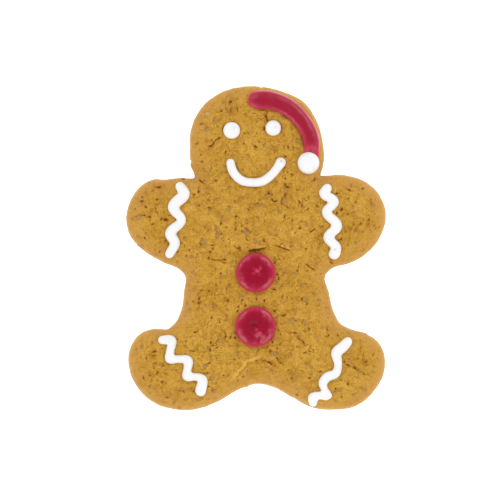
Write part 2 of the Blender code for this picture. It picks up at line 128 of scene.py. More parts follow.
# Fine creases, pressed in and darkened with painted shade: the points of a line, and its strength.
CREASES = (
    (((14.1, 6.5), (14.9, 6.8), (15.6, 7.4)), 0.8),
    (((17.8, 5.5), (18.7, 5.7), (19.8, 6.4), (21.3, 5.5)), 0.8),
    (((19.8, 6.6), (21.9, 7.2), (24.0, 7.7)), 0.6),
    (((0.0, 3.9), (1.0, 4.8), (1.8, 5.3), (3.1, 5.1)), 0.55),
    (((3.0, 4.6), (2.8, 3.2), (2.5, 1.6)), 0.6),
    (((3.8, 19.6), (4.5, 18.3), (5.9, 17.1)), 0.8),
    (((5.2, 16.6), (5.9, 15.9), (7.5, 15.8)), 0.8),
    (((9.6, 22.4), (10.0, 21.0), (10.5, 20.4), (11.9, 20.5)), 0.8),
    (((9.7, 18.9), (9.9, 17.6), (10.1, 16.8)), 0.8),
    (((14.3, 16.7), (15.1, 15.1), (16.0, 13.6)), 0.65),
    (((20.1, 14.8), (20.7, 14.2), (21.5, 13.5)), 0.6),
    (((9.5, 11.5), (9.7, 10.5), (10.0, 9.4)), 0.55),
    (((-16.2, 14.0), (-15.3, 13.6), (-14.6, 12.3)), 0.5),
    (((-3.9, 3.9), (-3.2, 3.0), (-2.5, 2.2)), 0.7),
    (((-13.0, 8.3), (-12.4, 6.2), (-11.6, 4.6)), 0.6),
    (((-15.6, 1.2), (-14.6, 0.9), (-13.4, 1.3)), 0.7),
    (((-11.6, -3.3), (-10.8, -3.8), (-9.8, -4.4)), 0.8),
    (((16.4, -4.7), (16.8, -5.6), (17.8, -6.6)), 0.6),
    (((6.1, -20.9), (6.6, -21.3), (7.8, -20.4)), 0.5),
    (((8.4, -23.0), (9.4, -22.6), (10.6, -22.3)), 0.7),
    (((11.6, -19.8), (12.6, -20.4), (13.6, -20.6)), 0.55),
    (((12.6, -28.3), (13.4, -28.8), (14.2, -28.9)), 0.7),
    (((14.0, -29.6), (14.7, -31.0), (15.9, -31.6), (16.7, -33.1)), 0.7),
    (((15.6, -35.6), (16.6, -35.3), (17.5, -35.0)), 0.7),
    (((17.8, -34.3), (18.3, -34.8), (18.9, -35.3)), 0.8),
    (((6.5, -36.4), (7.3, -37.9), (8.1, -38.8), (9.2, -39.6)), 0.7),
    (((-15.7, -33.6), (-15.4, -34.6), (-15.6, -35.4)), 0.8),
    (((-22.7, -34.5), (-21.6, -34.9), (-20.0, -34.8)), 0.7),
    (((-21.2, -28.9), (-19.9, -28.1), (-18.7, -27.4), (-17.4, -27.6)), 0.6),
    (((-15.9, -18.0), (-14.9, -19.3), (-14.4, -20.8)), 0.6),
    (((-19.4, -15.8), (-19.1, -17.2), (-18.4, -18.8)), 0.6),
    (((-10.8, -30.8), (-10.2, -30.1), (-9.9, -29.4)), 0.7),
    (((-6.4, -36.0), (-5.7, -37.0), (-5.2, -38.0)), 0.5),
    (((1.2, -37.6), (3.2, -38.0), (4.7, -38.8), (5.9, -40.2)), 0.75),
    (((-16.3, 33.9), (-14.8, 34.9), (-13.6, 36.3), (-12.0, 37.4)), 0.75),
    (((3.8, 46.2), (3.4, 44.4), (4.1, 42.4)), 0.85),
    (((-18.4, 38.0), (-17.2, 37.0), (-15.0, 36.9)), 0.5),
)
CREASE_WIDTH = 0.23  # half width, about, in its middle
CREASE_DEPTH = 0.12
CREASE_WARP = 0.3  # how far creases wander off their lines
CREASE_WARP_SIZE = 0.9
LINE_WARP = 0.4  # how far folds, cracks and ridges wander off their lines
LINE_WARP_SIZE = 1.7

# ---- marks in the crust ----
Mark = namedtuple("Mark", "kind x y turn half_length half_width bend strength", defaults=(0.0, 1.0))
# What each kind of mark does: its depth, how square it is, and for each tint its strength and its spread.
# The shade tint is painted shade in and round the hollows and grooves; the dark tint is partly the dark
# floor of pits and cracks and partly painted shade.
KINDS = {
    "dent": (0.10, 2.0, {"shade": (0.55, 1.1)}),
    "pit": (0.40, 2.0, {"shade": (0.6, 1.5), "char": (0.82, 0.85)}),
    "crack": (0.34, 2.0, {"shade": (0.42, 1.7), "char": (0.82, 0.85)}),
    "grain": (-0.08, 3.2, {"shade": (0.4, 1.35), "grain": (0.88, 1.05)}),
    "speck": (-0.08, 2.6, {"pale": (0.75, 1.0)}),
}
TINTS = ("shade", "char", "grain", "pale")
MARK_FALLOFF = 1.2  # how fast a mark ends at its rim
MARK_REACH = 2.6  # no mark acts further from its middle than this, in half sizes
GROOVE = (1.2, 0.28)  # where the groove beside a grain runs, in half sizes, and its half width
GROOVE_DEPTH = 0.2  # depth of that groove
GROOVE_SHADOW = 0.7  # how dark the painted shadow in the groove beside a grain is
WARP = 0.24  # how far the ragged edges of marks wander
WARP_SIZE = 0.8
# Number of scattered marks of each kind, their half lengths, their slimness and their bend.
SCATTER = {
    "pit": (300, (0.2, 0.5), (0.45, 0.9), 0.1),
    "grain": (210, (0.3, 0.7), (0.5, 0.9), 0.0),
    "crack": (60, (0.5, 1.0), (0.14, 0.26), 0.3),
    "dent": (600, (0.35, 1.1), (0.4, 0.9), 0.15),
    "speck": (10, (0.16, 0.3), (0.6, 0.9), 0.0),
}
WEAKEST = 0.35  # strength of the faintest scattered mark
ICING_ROOM = 0.35  # no scattered mark has its middle nearer to the icing than this
CLUSTER_TO_EDGE = 1.5  # least distance from a clustered pit to the biscuit's edge
CLUSTER_CROWDING = 0.8  # spacing in a cluster, as a share of the usual one
PALE_SIDE = (EDGE_HEIGHT + 3.6, EDGE_HEIGHT + 1.6)  # heights where the paler side begins, and is full
TRAY = (1.6, 0.1)  # heights where the browning from the tray begins, and is full
SIDE_GRAIN = 0.45  # how much of the crust's mottling is left on the smoother rim and side
STANDOUT_SCALE = 0.96  # size of the marks below in the crust, as their edges fray outwards
# Marks that stand out, by place and kind: middle, turn in degrees, half length, half width and, if any,
# bend.
STANDOUTS = {
    "chest": {
        "pit": (
            (-19.3, 19.0, 80, 0.6, 0.45), (-20.9, 18.0, 20, 0.5, 0.4), (-16.2, 16.2, -10, 0.5, 0.35),
            (-19.2, 14.3, 70, 0.5, 0.35), (-15.9, 13.6, 10, 0.55, 0.4), (0.5, 15.2, 20, 0.45, 0.3),
            (8.6, 15.1, 60, 0.45, 0.4), (15.4, 14.0, -50, 0.6, 0.32), (17.5, 13.2, 80, 0.6, 0.36),
            (20.7, 14.1, -40, 0.7, 0.35), (14.1, 19.6, 0, 0.4, 0.3), (-14.7, 21.4, 60, 0.35, 0.3),
            (-13.6, 22.7, 20, 0.7, 0.45),
        ),
        "grain": (
            (-19.1, 20.0, 70, 0.6, 0.5), (-12.6, 16.5, 40, 1.1, 0.5), (-8.9, 20.2, 20, 0.75, 0.55),
            (-9.1, 13.1, 20, 0.9, 0.75), (-15.2, 12.9, 30, 0.7, 0.5), (0.3, 14.4, 30, 0.6, 0.45),
            (-4.9, 17.2, 85, 0.8, 0.45), (4.6, 17.7, 10, 0.9, 0.6), (9.6, 15.8, 60, 1.15, 0.9),
            (10.0, 19.6, 80, 0.8, 0.55), (8.2, 12.3, 80, 0.8, 0.55), (-11.4, 25.5, 60, 0.7, 0.5),
        ),
        "crack": (
            (-2.6, 12.9, -60, 0.85, 0.3, -0.2), (3.2, 11.2, 60, 0.8, 0.24, 0.3),
            (4.3, 18.6, -50, 1.0, 0.36, 0.2), (5.6, 16.3, -40, 0.7, 0.3, 0.1),
            (6.7, 15.8, 0, 0.8, 0.34, 0.1), (10.5, 14.0, -40, 0.75, 0.32, 0.1),
            (9.9, 17.8, -85, 1.1, 0.4, 0.2), (10.6, 20.6, 5, 0.8, 0.34, -0.1), (9.8, 21.6, -75, 0.6, 0.26),
            (14.7, 15.6, -60, 1.2, 0.28, 0.1), (9.6, 10.5, 80, 0.8, 0.34), (12.2, 9.3, 80, 0.7, 0.24),
        ),
        "speck": (
            (-14.8, 21.3, 10, 0.75, 0.6),
        ),
    },
    "belly": {
        "pit": (
            (-1.9, -0.9, 20, 0.8, 0.65), (-0.4, -1.1, 10, 0.9, 0.6), (0.9, -0.8, 15, 1.0, 0.5),
            (-11.9, 8.2, 70, 0.7, 0.42), (-3.0, 8.3, 30, 0.45, 0.36), (-4.8, 7.5, 30, 0.55, 0.36),
            (-4.7, 5.6, -60, 0.6, 0.36), (-6.9, 6.4, 75, 0.65, 0.34), (-9.9, 7.0, 10, 0.6, 0.32),
            (-11.8, 4.9, 40, 0.4, 0.32), (-14.6, -0.1, 80, 0.45, 0.36), (-15.5, -1.4, 75, 0.55, 0.36),
            (-15.9, -3.3, 80, 0.7, 0.36), (-18.5, 1.3, 40, 0.45, 0.34), (-22.5, -0.7, 70, 0.45, 0.4),
            (12.0, 0.5, 10, 0.55, 0.34), (16.9, -0.3, 20, 0.45, 0.36), (18.6, 5.5, 10, 0.5, 0.3),
            (13.2, 5.1, 80, 0.5, 0.3),
        ),
        "crack": (
            (-1.0, -0.9, 12, 2.1, 0.7, -0.3), (2.6, 0.2, 15, 1.3, 0.34, 0.1),
            (-6.8, 10.6, 70, 0.8, 0.42, 0.1), (-3.0, 2.9, -50, 0.9, 0.34, 0.1),
            (-14.6, 1.0, 0, 0.9, 0.34, 0.1), (-10.9, -3.9, -15, 1.1, 0.32, 0.1),
            (-5.6, 0.0, -50, 0.9, 0.4, 0.1), (-6.7, -4.5, -70, 0.9, 0.3, 0.1),
            (2.7, 2.6, 85, 0.8, 0.3, 0.1), (0.6, 4.6, 35, 1.3, 0.16, 0.3), (8.5, 0.4, -30, 1.3, 0.34, 0.1),
            (15.0, 6.6, 20, 0.9, 0.28, 0.2), (19.4, 6.1, 30, 1.1, 0.26, 0.1),
            (22.4, 7.3, 30, 1.1, 0.24, 0.1), (6.4, -4.9, 80, 0.7, 0.28), (17.4, -5.6, -25, 1.6, 0.2, 0.1),
        ),
        "grain": (
            (-11.2, 9.8, 70, 1.0, 0.55), (-3.1, 8.9, 60, 0.8, 0.45), (-3.5, 5.3, -40, 1.4, 0.95),
            (-13.3, 7.0, 100, 0.8, 0.5), (-12.8, 4.3, 85, 1.25, 0.7), (-15.6, 5.7, 60, 0.8, 0.5),
            (-17.9, 2.2, 75, 1.2, 0.75), (-24.0, 3.4, 70, 0.7, 0.5), (-21.6, -3.2, 20, 0.8, 0.6),
            (-8.1, -4.8, 30, 0.8, 0.45), (0.1, 1.9, 70, 0.7, 0.6), (5.0, 4.6, 30, 0.7, 0.5),
            (12.2, 1.3, 60, 0.8, 0.6), (17.2, 7.8, 80, 0.7, 0.5), (6.6, -3.8, 70, 0.7, 0.45),
        ),
        "speck": (
            (9.3, 5.4, 30, 0.6, 0.5), (19.7, -1.0, 20, 0.5, 0.4),
        ),
    },
    "waist": {
        "grain": (
            (13.5, -8.6, 20, 0.9, 0.55), (9.6, -8.8, 20, 0.7, 0.45), (7.4, -12.0, 80, 0.7, 0.45),
            (10.4, -17.8, 60, 0.5, 0.4), (16.1, -12.6, 10, 0.8, 0.55), (16.6, -17.4, 70, 1.0, 0.8),
            (19.8, -15.8, 30, 0.75, 0.6), (21.4, -17.8, 20, 0.8, 0.5), (13.4, -21.8, 85, 0.9, 0.5),
            (12.2, -24.6, -40, 1.3, 0.8), (16.3, -25.0, 60, 0.8, 0.6), (7.4, -23.1, 70, 0.7, 0.45),
            (-19.3, -16.0, 70, 0.7, 0.5), (-19.2, -20.7, 60, 0.7, 0.55), (-15.1, -19.1, -60, 0.9, 0.45),
            (-11.6, -9.8, 80, 0.7, 0.45), (-9.0, -13.2, 70, 0.9, 0.55), (-4.8, -16.7, 50, 0.8, 0.55),
            (0.4, -15.9, 80, 0.5, 0.36), (-22.5, -21.0, 20, 0.6, 0.45), (-21.3, -8.2, 30, 0.8, 0.5),
        ),
        "pit": (
            (13.8, -7.8, 70, 0.5, 0.32), (7.4, -8.9, 60, 0.5, 0.36), (7.6, -10.4, 80, 0.65, 0.38),
            (6.1, -14.0, -20, 0.75, 0.42), (10.5, -16.7, 80, 0.4, 0.3), (15.4, -17.2, 80, 0.5, 0.32),
            (17.2, -18.9, 80, 0.6, 0.32), (17.9, -27.2, -60, 0.6, 0.36), (6.2, -21.4, -40, 0.7, 0.36),
            (-19.2, -17.1, 80, 0.65, 0.4), (-19.2, -18.5, 20, 0.7, 0.4), (-15.9, -14.6, 70, 0.5, 0.32),
            (-11.9, -8.5, 40, 0.45, 0.32), (-8.7, -12.6, 80, 0.5, 0.34), (-9.5, -17.8, 85, 0.65, 0.4),
            (-4.6, -17.6, 10, 0.6, 0.32), (-5.9, -19.7, 60, 0.6, 0.34), (-6.3, -21.4, 40, 0.5, 0.42),
            (-3.5, -19.4, -60, 0.55, 0.34), (2.8, -17.8, 80, 0.65, 0.34), (-15.0, -23.6, 20, 0.5, 0.36),
        ),
        "crack": (
            (8.8, -16.6, 80, 0.8, 0.28, 0.1), (9.4, -22.7, 20, 1.2, 0.3, 0.2),
            (-18.3, -14.4, 10, 0.9, 0.2, -0.2), (0.2, -17.2, -80, 0.9, 0.36, 0.1),
            (-12.3, -24.8, 80, 0.9, 0.28, 0.1),
        ),
        "speck": (
            (15.2, -19.1, -50, 0.6, 0.4),
        ),
    },
    "hips": {
        "crack": (
            (8.4, -29.2, -60, 0.8, 0.36, 0.1), (13.2, -28.6, -20, 0.9, 0.26, 0.1),
            (14.4, -30.6, -60, 0.7, 0.34, 0.1), (16.0, -31.8, -55, 0.9, 0.32, 0.1),
            (18.2, -34.8, -30, 0.7, 0.3, 0.1), (16.5, -35.3, 15, 0.8, 0.28, 0.1),
            (4.3, -38.7, -30, 1.0, 0.36, -0.2), (7.3, -37.3, -70, 0.9, 0.3, 0.1),
            (8.2, -38.8, -30, 0.6, 0.3), (-20.6, -28.4, 20, 0.9, 0.4, 0.1),
            (-7.0, -30.4, -60, 0.9, 0.4, 0.1), (-21.3, -34.8, 5, 1.2, 0.3, 0.1),
        ),
        "pit": (
            (7.6, -27.8, 70, 0.6, 0.34), (8.2, -32.4, 80, 0.65, 0.34), (5.6, -31.7, 60, 0.6, 0.34),
            (4.7, -34.8, 60, 0.62, 0.5), (4.9, -38.9, -30, 0.6, 0.36), (0.1, -38.0, 80, 0.6, 0.36),
            (-10.4, -30.1, 70, 0.75, 0.38), (-8.6, -30.2, 50, 0.65, 0.36), (-15.3, -32.0, 80, 0.6, 0.36),
            (-15.5, -34.3, -80, 0.8, 0.32), (-15.8, -38.8, 40, 0.7, 0.36), (-13.1, -33.8, 20, 0.5, 0.36),
            (-23.6, -31.5, 60, 0.5, 0.3),
        ),
        "grain": (
            (6.0, -30.7, 70, 0.8, 0.55), (6.1, -35.7, 10, 1.1, 0.65), (14.8, -29.6, 50, 0.8, 0.6),
            (11.6, -36.4, 70, 0.7, 0.5), (-7.6, -29.0, 60, 0.6, 0.5), (-12.3, -31.2, 70, 1.0, 0.75),
            (-16.2, -34.0, 70, 1.0, 0.6), (-16.9, -39.9, 20, 0.9, 0.6), (-6.1, -35.7, 30, 0.8, 0.55),
            (-15.1, -37.0, 80, 0.8, 0.4),
        ),
        "speck": (
            (-21.1, -29.9, 10, 0.55, 0.3),
        ),
    },
    "left hand": {
        "crack": (
            (-33.0, 20.6, 5, 1.4, 0.5, 0.2), (-34.8, 8.1, 25, 0.95, 0.34, 0.1),
        ),
        "pit": (
            (-33.5, 16.4, 20, 0.65, 0.45), (-38.6, 15.8, 0, 0.75, 0.5), (-38.3, 17.2, 80, 0.4, 0.32),
            (-37.3, 13.9, -30, 0.6, 0.42), (-36.1, 10.5, -20, 0.8, 0.5), (-37.7, 11.0, 0, 0.6, 0.4),
            (-30.4, 9.5, 0, 1.0, 0.6), (-32.1, 9.7, 20, 0.55, 0.42), (-29.3, 11.0, 20, 0.5, 0.3),
            (-37.6, 3.3, -20, 0.5, 0.36), (-32.6, -1.2, 60, 0.5, 0.34), (-24.5, 23.3, 10, 0.5, 0.36),
            (-26.6, -1.3, 40, 0.6, 0.34),
        ),
        "grain": (
            (-32.2, 15.0, 50, 0.7, 0.55), (-38.1, 14.5, 40, 0.6, 0.45), (-39.5, 10.2, 10, 1.2, 0.75),
            (-36.9, 18.6, 40, 0.6, 0.45), (-38.5, 0.5, 20, 0.8, 0.6),
        ),
        "dent": (
            (-30.6, 2.4, 20, 0.9, 0.6), (-32.4, 1.8, 40, 0.7, 0.5), (-41.8, 9.8, 80, 0.8, 0.5),
            (-37.3, 5.0, 80, 0.7, 0.5), (-34.8, 19.3, 30, 0.9, 0.6), (-35.3, 13.0, 30, 0.9, 0.6),
        ),
    },
    "right hand": {
        "crack": (
            (31.5, 19.6, -20, 1.2, 0.42, 0.1), (34.2, 17.0, 0, 0.9, 0.26, 0.1),
            (31.2, 16.7, 30, 0.9, 0.28, 0.1), (35.3, 8.2, 40, 0.9, 0.4, 0.1), (33.8, 6.7, 50, 0.8, 0.24),
            (25.5, -4.9, -30, 1.0, 0.5, 0.1), (14.2, -6.3, 80, 1.0, 0.2, 0.1),
        ),
        "speck": (
            (36.2, 21.2, 80, 0.6, 0.4),
        ),
        "pit": (
            (36.0, 20.0, 30, 0.5, 0.34), (27.2, 18.4, 10, 0.7, 0.42), (28.8, 13.0, 50, 0.9, 0.65),
            (27.3, 11.8, 60, 0.55, 0.42), (31.0, 11.5, 20, 0.6, 0.42), (38.1, 9.5, 40, 0.5, 0.34),
            (40.4, 6.6, 70, 0.45, 0.3), (28.8, 3.0, 50, 0.7, 0.42), (27.6, 2.5, 30, 0.6, 0.34),
        ),
        "grain": (
            (33.0, 13.8, 70, 0.7, 0.5), (33.1, 12.0, 60, 0.7, 0.5), (33.9, 5.7, 40, 0.9, 0.5),
            (20.7, -5.4, 50, 0.7, 0.5),
        ),
        "dent": (
            (38.7, 16.2, 60, 0.9, 0.6), (36.4, -0.6, 60, 0.9, 0.5), (40.0, 7.6, 20, 0.9, 0.5),
        ),
    },
    "head": {
        "crack": (
            (-15.5, 34.4, 20, 1.0, 0.36), (-14.2, 35.3, 60, 0.7, 0.34), (-12.6, 37.2, 20, 0.8, 0.36),
            (-15.0, 36.8, -60, 0.8, 0.24, 0.1), (-6.4, 46.8, 100, 2.0, 0.2, 0.2),
            (3.8, 46.0, 80, 0.6, 0.34), (3.3, 44.5, -60, 1.1, 0.26, 0.1), (-4.0, 35.4, -75, 0.8, 0.3, 0.4),
            (10.8, 34.1, 85, 0.8, 0.36, 0.1), (12.7, 34.0, 85, 0.8, 0.3, 0.1),
            (-0.6, 45.6, 0, 0.9, 0.22, 0.1), (19.9, 23.5, 48, 2.0, 0.36, 0.25),
            (-18.5, 22.4, -38, 2.0, 0.4, -0.2),
        ),
        "grain": (
            (-14.4, 34.3, 80, 0.7, 0.45), (-8.0, 46.5, 60, 0.55, 0.4), (-10.6, 49.0, 60, 0.7, 0.55),
            (-13.8, 43.2, 70, 0.9, 0.6), (-16.5, 39.9, 40, 0.9, 0.6), (9.7, 44.0, 30, 0.9, 0.6),
            (14.4, 36.0, 70, 0.8, 0.7), (3.1, 34.6, 60, 0.7, 0.45),
        ),
        "dent": (
            (-20.0, 35.4, 40, 1.1, 0.75), (6.8, 22.3, 20, 1.1, 0.7), (6.8, 34.3, 0, 0.7, 0.4),
        ),
        "pit": (
            (-10.4, 32.4, 75, 0.6, 0.4), (-18.6, 31.5, 30, 0.4, 0.32), (-18.3, 29.2, 10, 0.5, 0.36),
            (-8.3, 46.4, 70, 0.95, 0.7), (-11.7, 46.3, 20, 0.55, 0.4), (-8.6, 49.4, 0, 0.6, 0.42),
            (-18.4, 42.0, 10, 0.6, 0.42), (3.8, 43.0, 60, 0.45, 0.36), (2.8, 40.4, 85, 0.7, 0.36),
            (-0.2, 34.2, -30, 0.7, 0.45), (9.8, 31.0, -40, 0.65, 0.45), (12.2, 24.8, -40, 0.7, 0.4),
            (9.9, 23.5, 30, 0.5, 0.34),
        ),
        "speck": (
            (-16.4, 45.4, 10, 0.8, 0.6),
        ),
    },
    "left foot": {
        "pit": (
            (-34.3, -35.0, 10, 0.9, 0.45), (-31.4, -39.8, 20, 0.5, 0.32), (-35.7, -43.1, 20, 0.6, 0.3),
            (-33.4, -42.2, 80, 0.7, 0.36), (-31.7, -45.2, 70, 0.6, 0.38), (-24.5, -48.4, -60, 0.8, 0.32),
            (-21.1, -48.2, 70, 0.5, 0.3), (-16.4, -42.3, 20, 0.6, 0.34), (-11.0, -43.0, 20, 0.5, 0.32),
            (-4.3, -43.4, 20, 0.45, 0.3),
        ),
        "crack": (
            (-34.6, -36.2, 5, 1.0, 0.24, 0.4), (-36.9, -37.1, 95, 1.2, 0.32, -0.4),
            (-34.2, -38.9, 30, 0.9, 0.28, 0.1), (-37.9, -43.9, -60, 1.0, 0.34, 0.1),
            (-30.0, -50.5, -10, 0.9, 0.28, 0.1), (-16.0, -46.8, 20, 0.7, 0.32),
        ),
        "grain": (
            (-38.5, -33.6, 20, 0.8, 0.6), (-40.3, -34.4, 80, 0.6, 0.4), (-35.4, -42.4, 60, 0.8, 0.6),
            (-30.9, -45.9, 20, 0.6, 0.45), (-35.6, -46.9, 60, 0.8, 0.55), (-25.0, -47.8, 70, 1.0, 0.6),
            (-21.9, -47.9, 20, 0.8, 0.55), (-23.5, -51.3, 30, 0.8, 0.5), (-19.4, -51.4, 10, 1.0, 0.5),
            (-27.4, -52.0, 70, 0.8, 0.5), (-28.0, -41.1, 70, 0.6, 0.4), (-14.9, -44.1, 60, 0.9, 0.6),
            (-14.0, -48.6, 20, 0.8, 0.55), (-2.6, -42.2, 70, 0.7, 0.45),
        ),
    },
    "right foot": {
        "crack": (
            (31.2, -39.6, -20, 1.0, 0.42, 0.1), (33.4, -40.5, -25, 0.9, 0.5),
            (36.4, -42.4, -60, 0.8, 0.34, 0.1), (24.2, -27.6, -60, 0.9, 0.36, 0.1),
            (24.5, -29.6, 70, 0.7, 0.36), (27.7, -29.4, -70, 0.9, 0.34, 0.1),
            (35.2, -34.0, 80, 1.6, 0.2, 0.1), (36.4, -35.8, 85, 1.2, 0.18, -0.1),
            (28.9, -50.3, -50, 0.7, 0.34), (37.2, -38.4, 20, 0.9, 0.22, 0.1),
        ),
        "grain": (
            (34.9, -41.7, 20, 0.9, 0.55), (22.5, -27.0, 80, 0.8, 0.45), (27.2, -48.2, 60, 0.9, 0.5),
            (37.0, -48.2, 50, 0.8, 0.6), (33.0, -49.7, 20, 0.7, 0.5), (12.9, -42.9, 60, 0.8, 0.5),
            (5.3, -41.4, 60, 0.8, 0.55), (18.8, -42.6, 60, 0.7, 0.45),
        ),
        "pit": (
            (26.8, -47.5, 70, 0.5, 0.32), (31.0, -45.9, 80, 0.6, 0.4), (18.0, -43.9, 10, 0.6, 0.32),
            (12.1, -44.0, 10, 0.55, 0.34), (21.8, -41.8, 10, 0.6, 0.32), (13.9, -49.6, -20, 0.6, 0.36),
        ),
        "speck": (
            (19.1, -46.3, 70, 0.4, 0.3),
        ),
        "dent": (
            (39.6, -36.0, 70, 0.9, 0.5),
        ),
    },
}
# Places thick with small pits: middle and reach of the place, and how many pits.
CLUSTERS = (
    ((-35.5, 15.0), 5.5, 16),
    ((-36.0, -38.0), 5.0, 16),
    ((33.0, -34.5), 5.0, 12),
    ((-17.5, -18.0), 4.0, 9),
)
# Lumps in the biscuit's side and in the crumb of its top: share, size and seed of each layer.
SIDE_LUMPS = ((0.6, 3.4, 3), (0.4, 1.1, 5))
CRUMB_LUMPS = ((1.0, 1.1, 11), (0.8, 0.55, 12))
SWELLS = ((0.1, 2.4, 13),)
TOP_FROM = 1.0  # the rings from this far above the bulge up carry marks, as the top does
SMOOTH_EDGE = 1.6  # marks and crumb fade out over this width of the edge
UNDERSIDE_BUMPS = (0.06, 2.0, 17)  # rise, size and seed of the bumps that the tray left
RIM_EASE = 1.3  # how the rim's paler dough gives way to the crust
# How far to each side of a line, and how far in under icing, the points lie at another spacing.
FINE_BY_RIDGE = 0.9
FINE_BY_CREASE = 0.5
COARSE_UNDER_ICING = 0.6
GRID_WANDER = 0.13  # how far points stray from their grid, as a share of its step
# Chips in the edge, and crumbs on it with a depth below 0: place, reach and depth.
CHIPS = (
    ((1.7, 54.6), 0.9, 0.45), ((-22.3, 29.4), 0.8, 0.3), ((-22.4, 28.0), 0.6, -0.3),
    ((38.5, -29.4), 1.4, 0.3), ((-40.2, 0.7), 0.6, -0.4), ((13.0, -51.0), 0.8, 0.25),
    ((-3.0, -46.9), 0.8, -0.25), ((23.2, 29.6), 0.8, -0.2), ((22.6, 26.2), 0.7, 0.3),
)

# ---- the icing's form ----
# Each piece: its slot, its height, the share of that at which it is widest, and how square its shoulder is.
ICING = {
    "hat": ("red_icing", 1.9, 0.4, 2.3),
    "smile": ("white_icing", 1.6, 0.35, 2.0),
    "left_cuff": ("white_icing", 1.8, 0.35, 2.0),
    "right_cuff": ("white_icing", 1.8, 0.35, 2.0),
    "left_anklet": ("white_icing", 1.7, 0.35, 2.0),
    "right_anklet": ("white_icing", 1.7, 0.35, 2.0),
    "bobble": ("white_icing", 2.9, 0.35, 2.2),
    "left_eye": ("white_icing", 1.6, 0.35, 2.4),
    "right_eye": ("white_icing", 1.6, 0.35, 2.4),
    "upper_button": ("red_icing", 2.8, 0.35, 3.2),
    "lower_button": ("red_icing", 2.8, 0.35, 3.2),
}
WHITE_LINES = ("smile", "left_cuff", "right_cuff", "left_anklet", "right_anklet")
WHITE_DROPS = ("bobble", "left_eye", "right_eye")
BUTTONS = ("upper_button", "lower_button")
# Inset of the foot below the widest line, from the bottom up, and its height as a share of the belly's.
UNDERCUT = ((0.14, -0.25), (0.1, 0.15), (0.03, 0.55))
CROWN_INSETS = (0.05, 0.14, 0.28)  # rings just inside the widest line, where the back turns over
RIPPLE = 0.05  # rise and fall of the icing's back, as a share of its height
RIPPLE_LENGTH = 2.3
HAT_TUCK = 0.45  # how far the end of the hat runs in under the bobble
BOBBLE_NEAR = 0.45  # points of the hat nearer than this to the bobble are tucked in
FULL_LIFT = 0.35  # a mark that rises or sinks this far has its full tint
THICK_FROM = 1.5  # icing this high begins to look deeper in colour
THICK_OVER = 1.2  # how much more height makes it look deepest
SETTLED = 1e-14  # mean square of the pull left in a blown skin that counts as at rest
# Where the nozzle let go: place on the figure, reach and rise (a dimple is below 0).
NOZZLE_MARKS = {
    "upper_button": (
        ((0.3, -7.7), 1.0, 0.4), ((1.3, -6.7), 0.9, 0.18), ((-0.7, -8.5), 0.9, 0.18),
        ((1.2, -8.8), 0.8, 0.15), ((-0.6, -6.9), 0.8, 0.12), ((0.3, -8.0), 2.8, -0.12),
    ),
    "lower_button": (
        ((0.95, -29.1), 1.1, 0.45), ((0.1, -27.7), 0.9, 0.18), ((2.2, -29.6), 0.9, 0.18),
        ((-0.8, -25.8), 2.2, -0.3),
    ),
    "left_eye": (((-7.2, 40.5), 0.7, -0.12),),
    "right_eye": (((6.8, 40.8), 0.7, -0.12),),
    "smile": (((8.6, 29.4), 0.6, -0.35),),
    "right_cuff": (((26.6, -0.5), 0.5, -0.25),),
    "hat": (((18.3, 34.3), 1.3, 0.2),),
}
# Where a painted shadow darkens the crust beside the icing: place, reach and strength.
CONTACT_SHADOWS = (
    ((-6.3, 26.8), 2.0, 1.0), ((9.3, 27.2), 1.2, 0.6), ((4.0, 46.6), 3.4, 0.7), ((11.0, 43.0), 4.0, 0.75),
    ((15.6, 37.5), 3.4, 0.9), ((-11.0, 40.3), 1.4, 0.6), ((8.4, 39.0), 1.2, 0.6), ((-6.9, -29.5), 1.8, 0.9),
    ((6.2, -31.0), 1.6, 0.7), ((6.9, -9.0), 1.8, 0.5), ((-6.2, -21.2), 1.4, 0.7), ((25.3, -4.6), 1.2, 0.8),
    ((-0.5, -1.6), 3.0, 0.9), ((0.0, -33.8), 3.0, 0.35), ((-17.0, -41.9), 1.5, 0.4),
)
CONTACT_SHADOW_REACH = 0.5
CONTACT_SHADOW_FAINT = 0.12  # strength of the painted shadow line anywhere else


def linear(code):
    """A colour given as six hex digits of sRGB, as linear light with full cover."""
    shares = [int(code[start : start + 2], 16) / 255 for start in (1, 3, 5)]
    return (*(s / 12.92 if s <= 0.04045 else ((s + 0.055) / 1.055) ** 2.4 for s in shares), 1.0)


def length(name, description, millimetres):
    return FloatProperty(
        name=name, description=description, default=millimetres * MM, min=0.0, precision=5, unit="LENGTH"
    )


def colour(name, description, code):
    return FloatVectorProperty(
        name=name, description=description, default=linear(code), min=0.0, max=1.0, size=4, subtype="COLOR"
    )


def number(name, description, value):
    return FloatProperty(name=name, description=description, default=value, min=0.0)


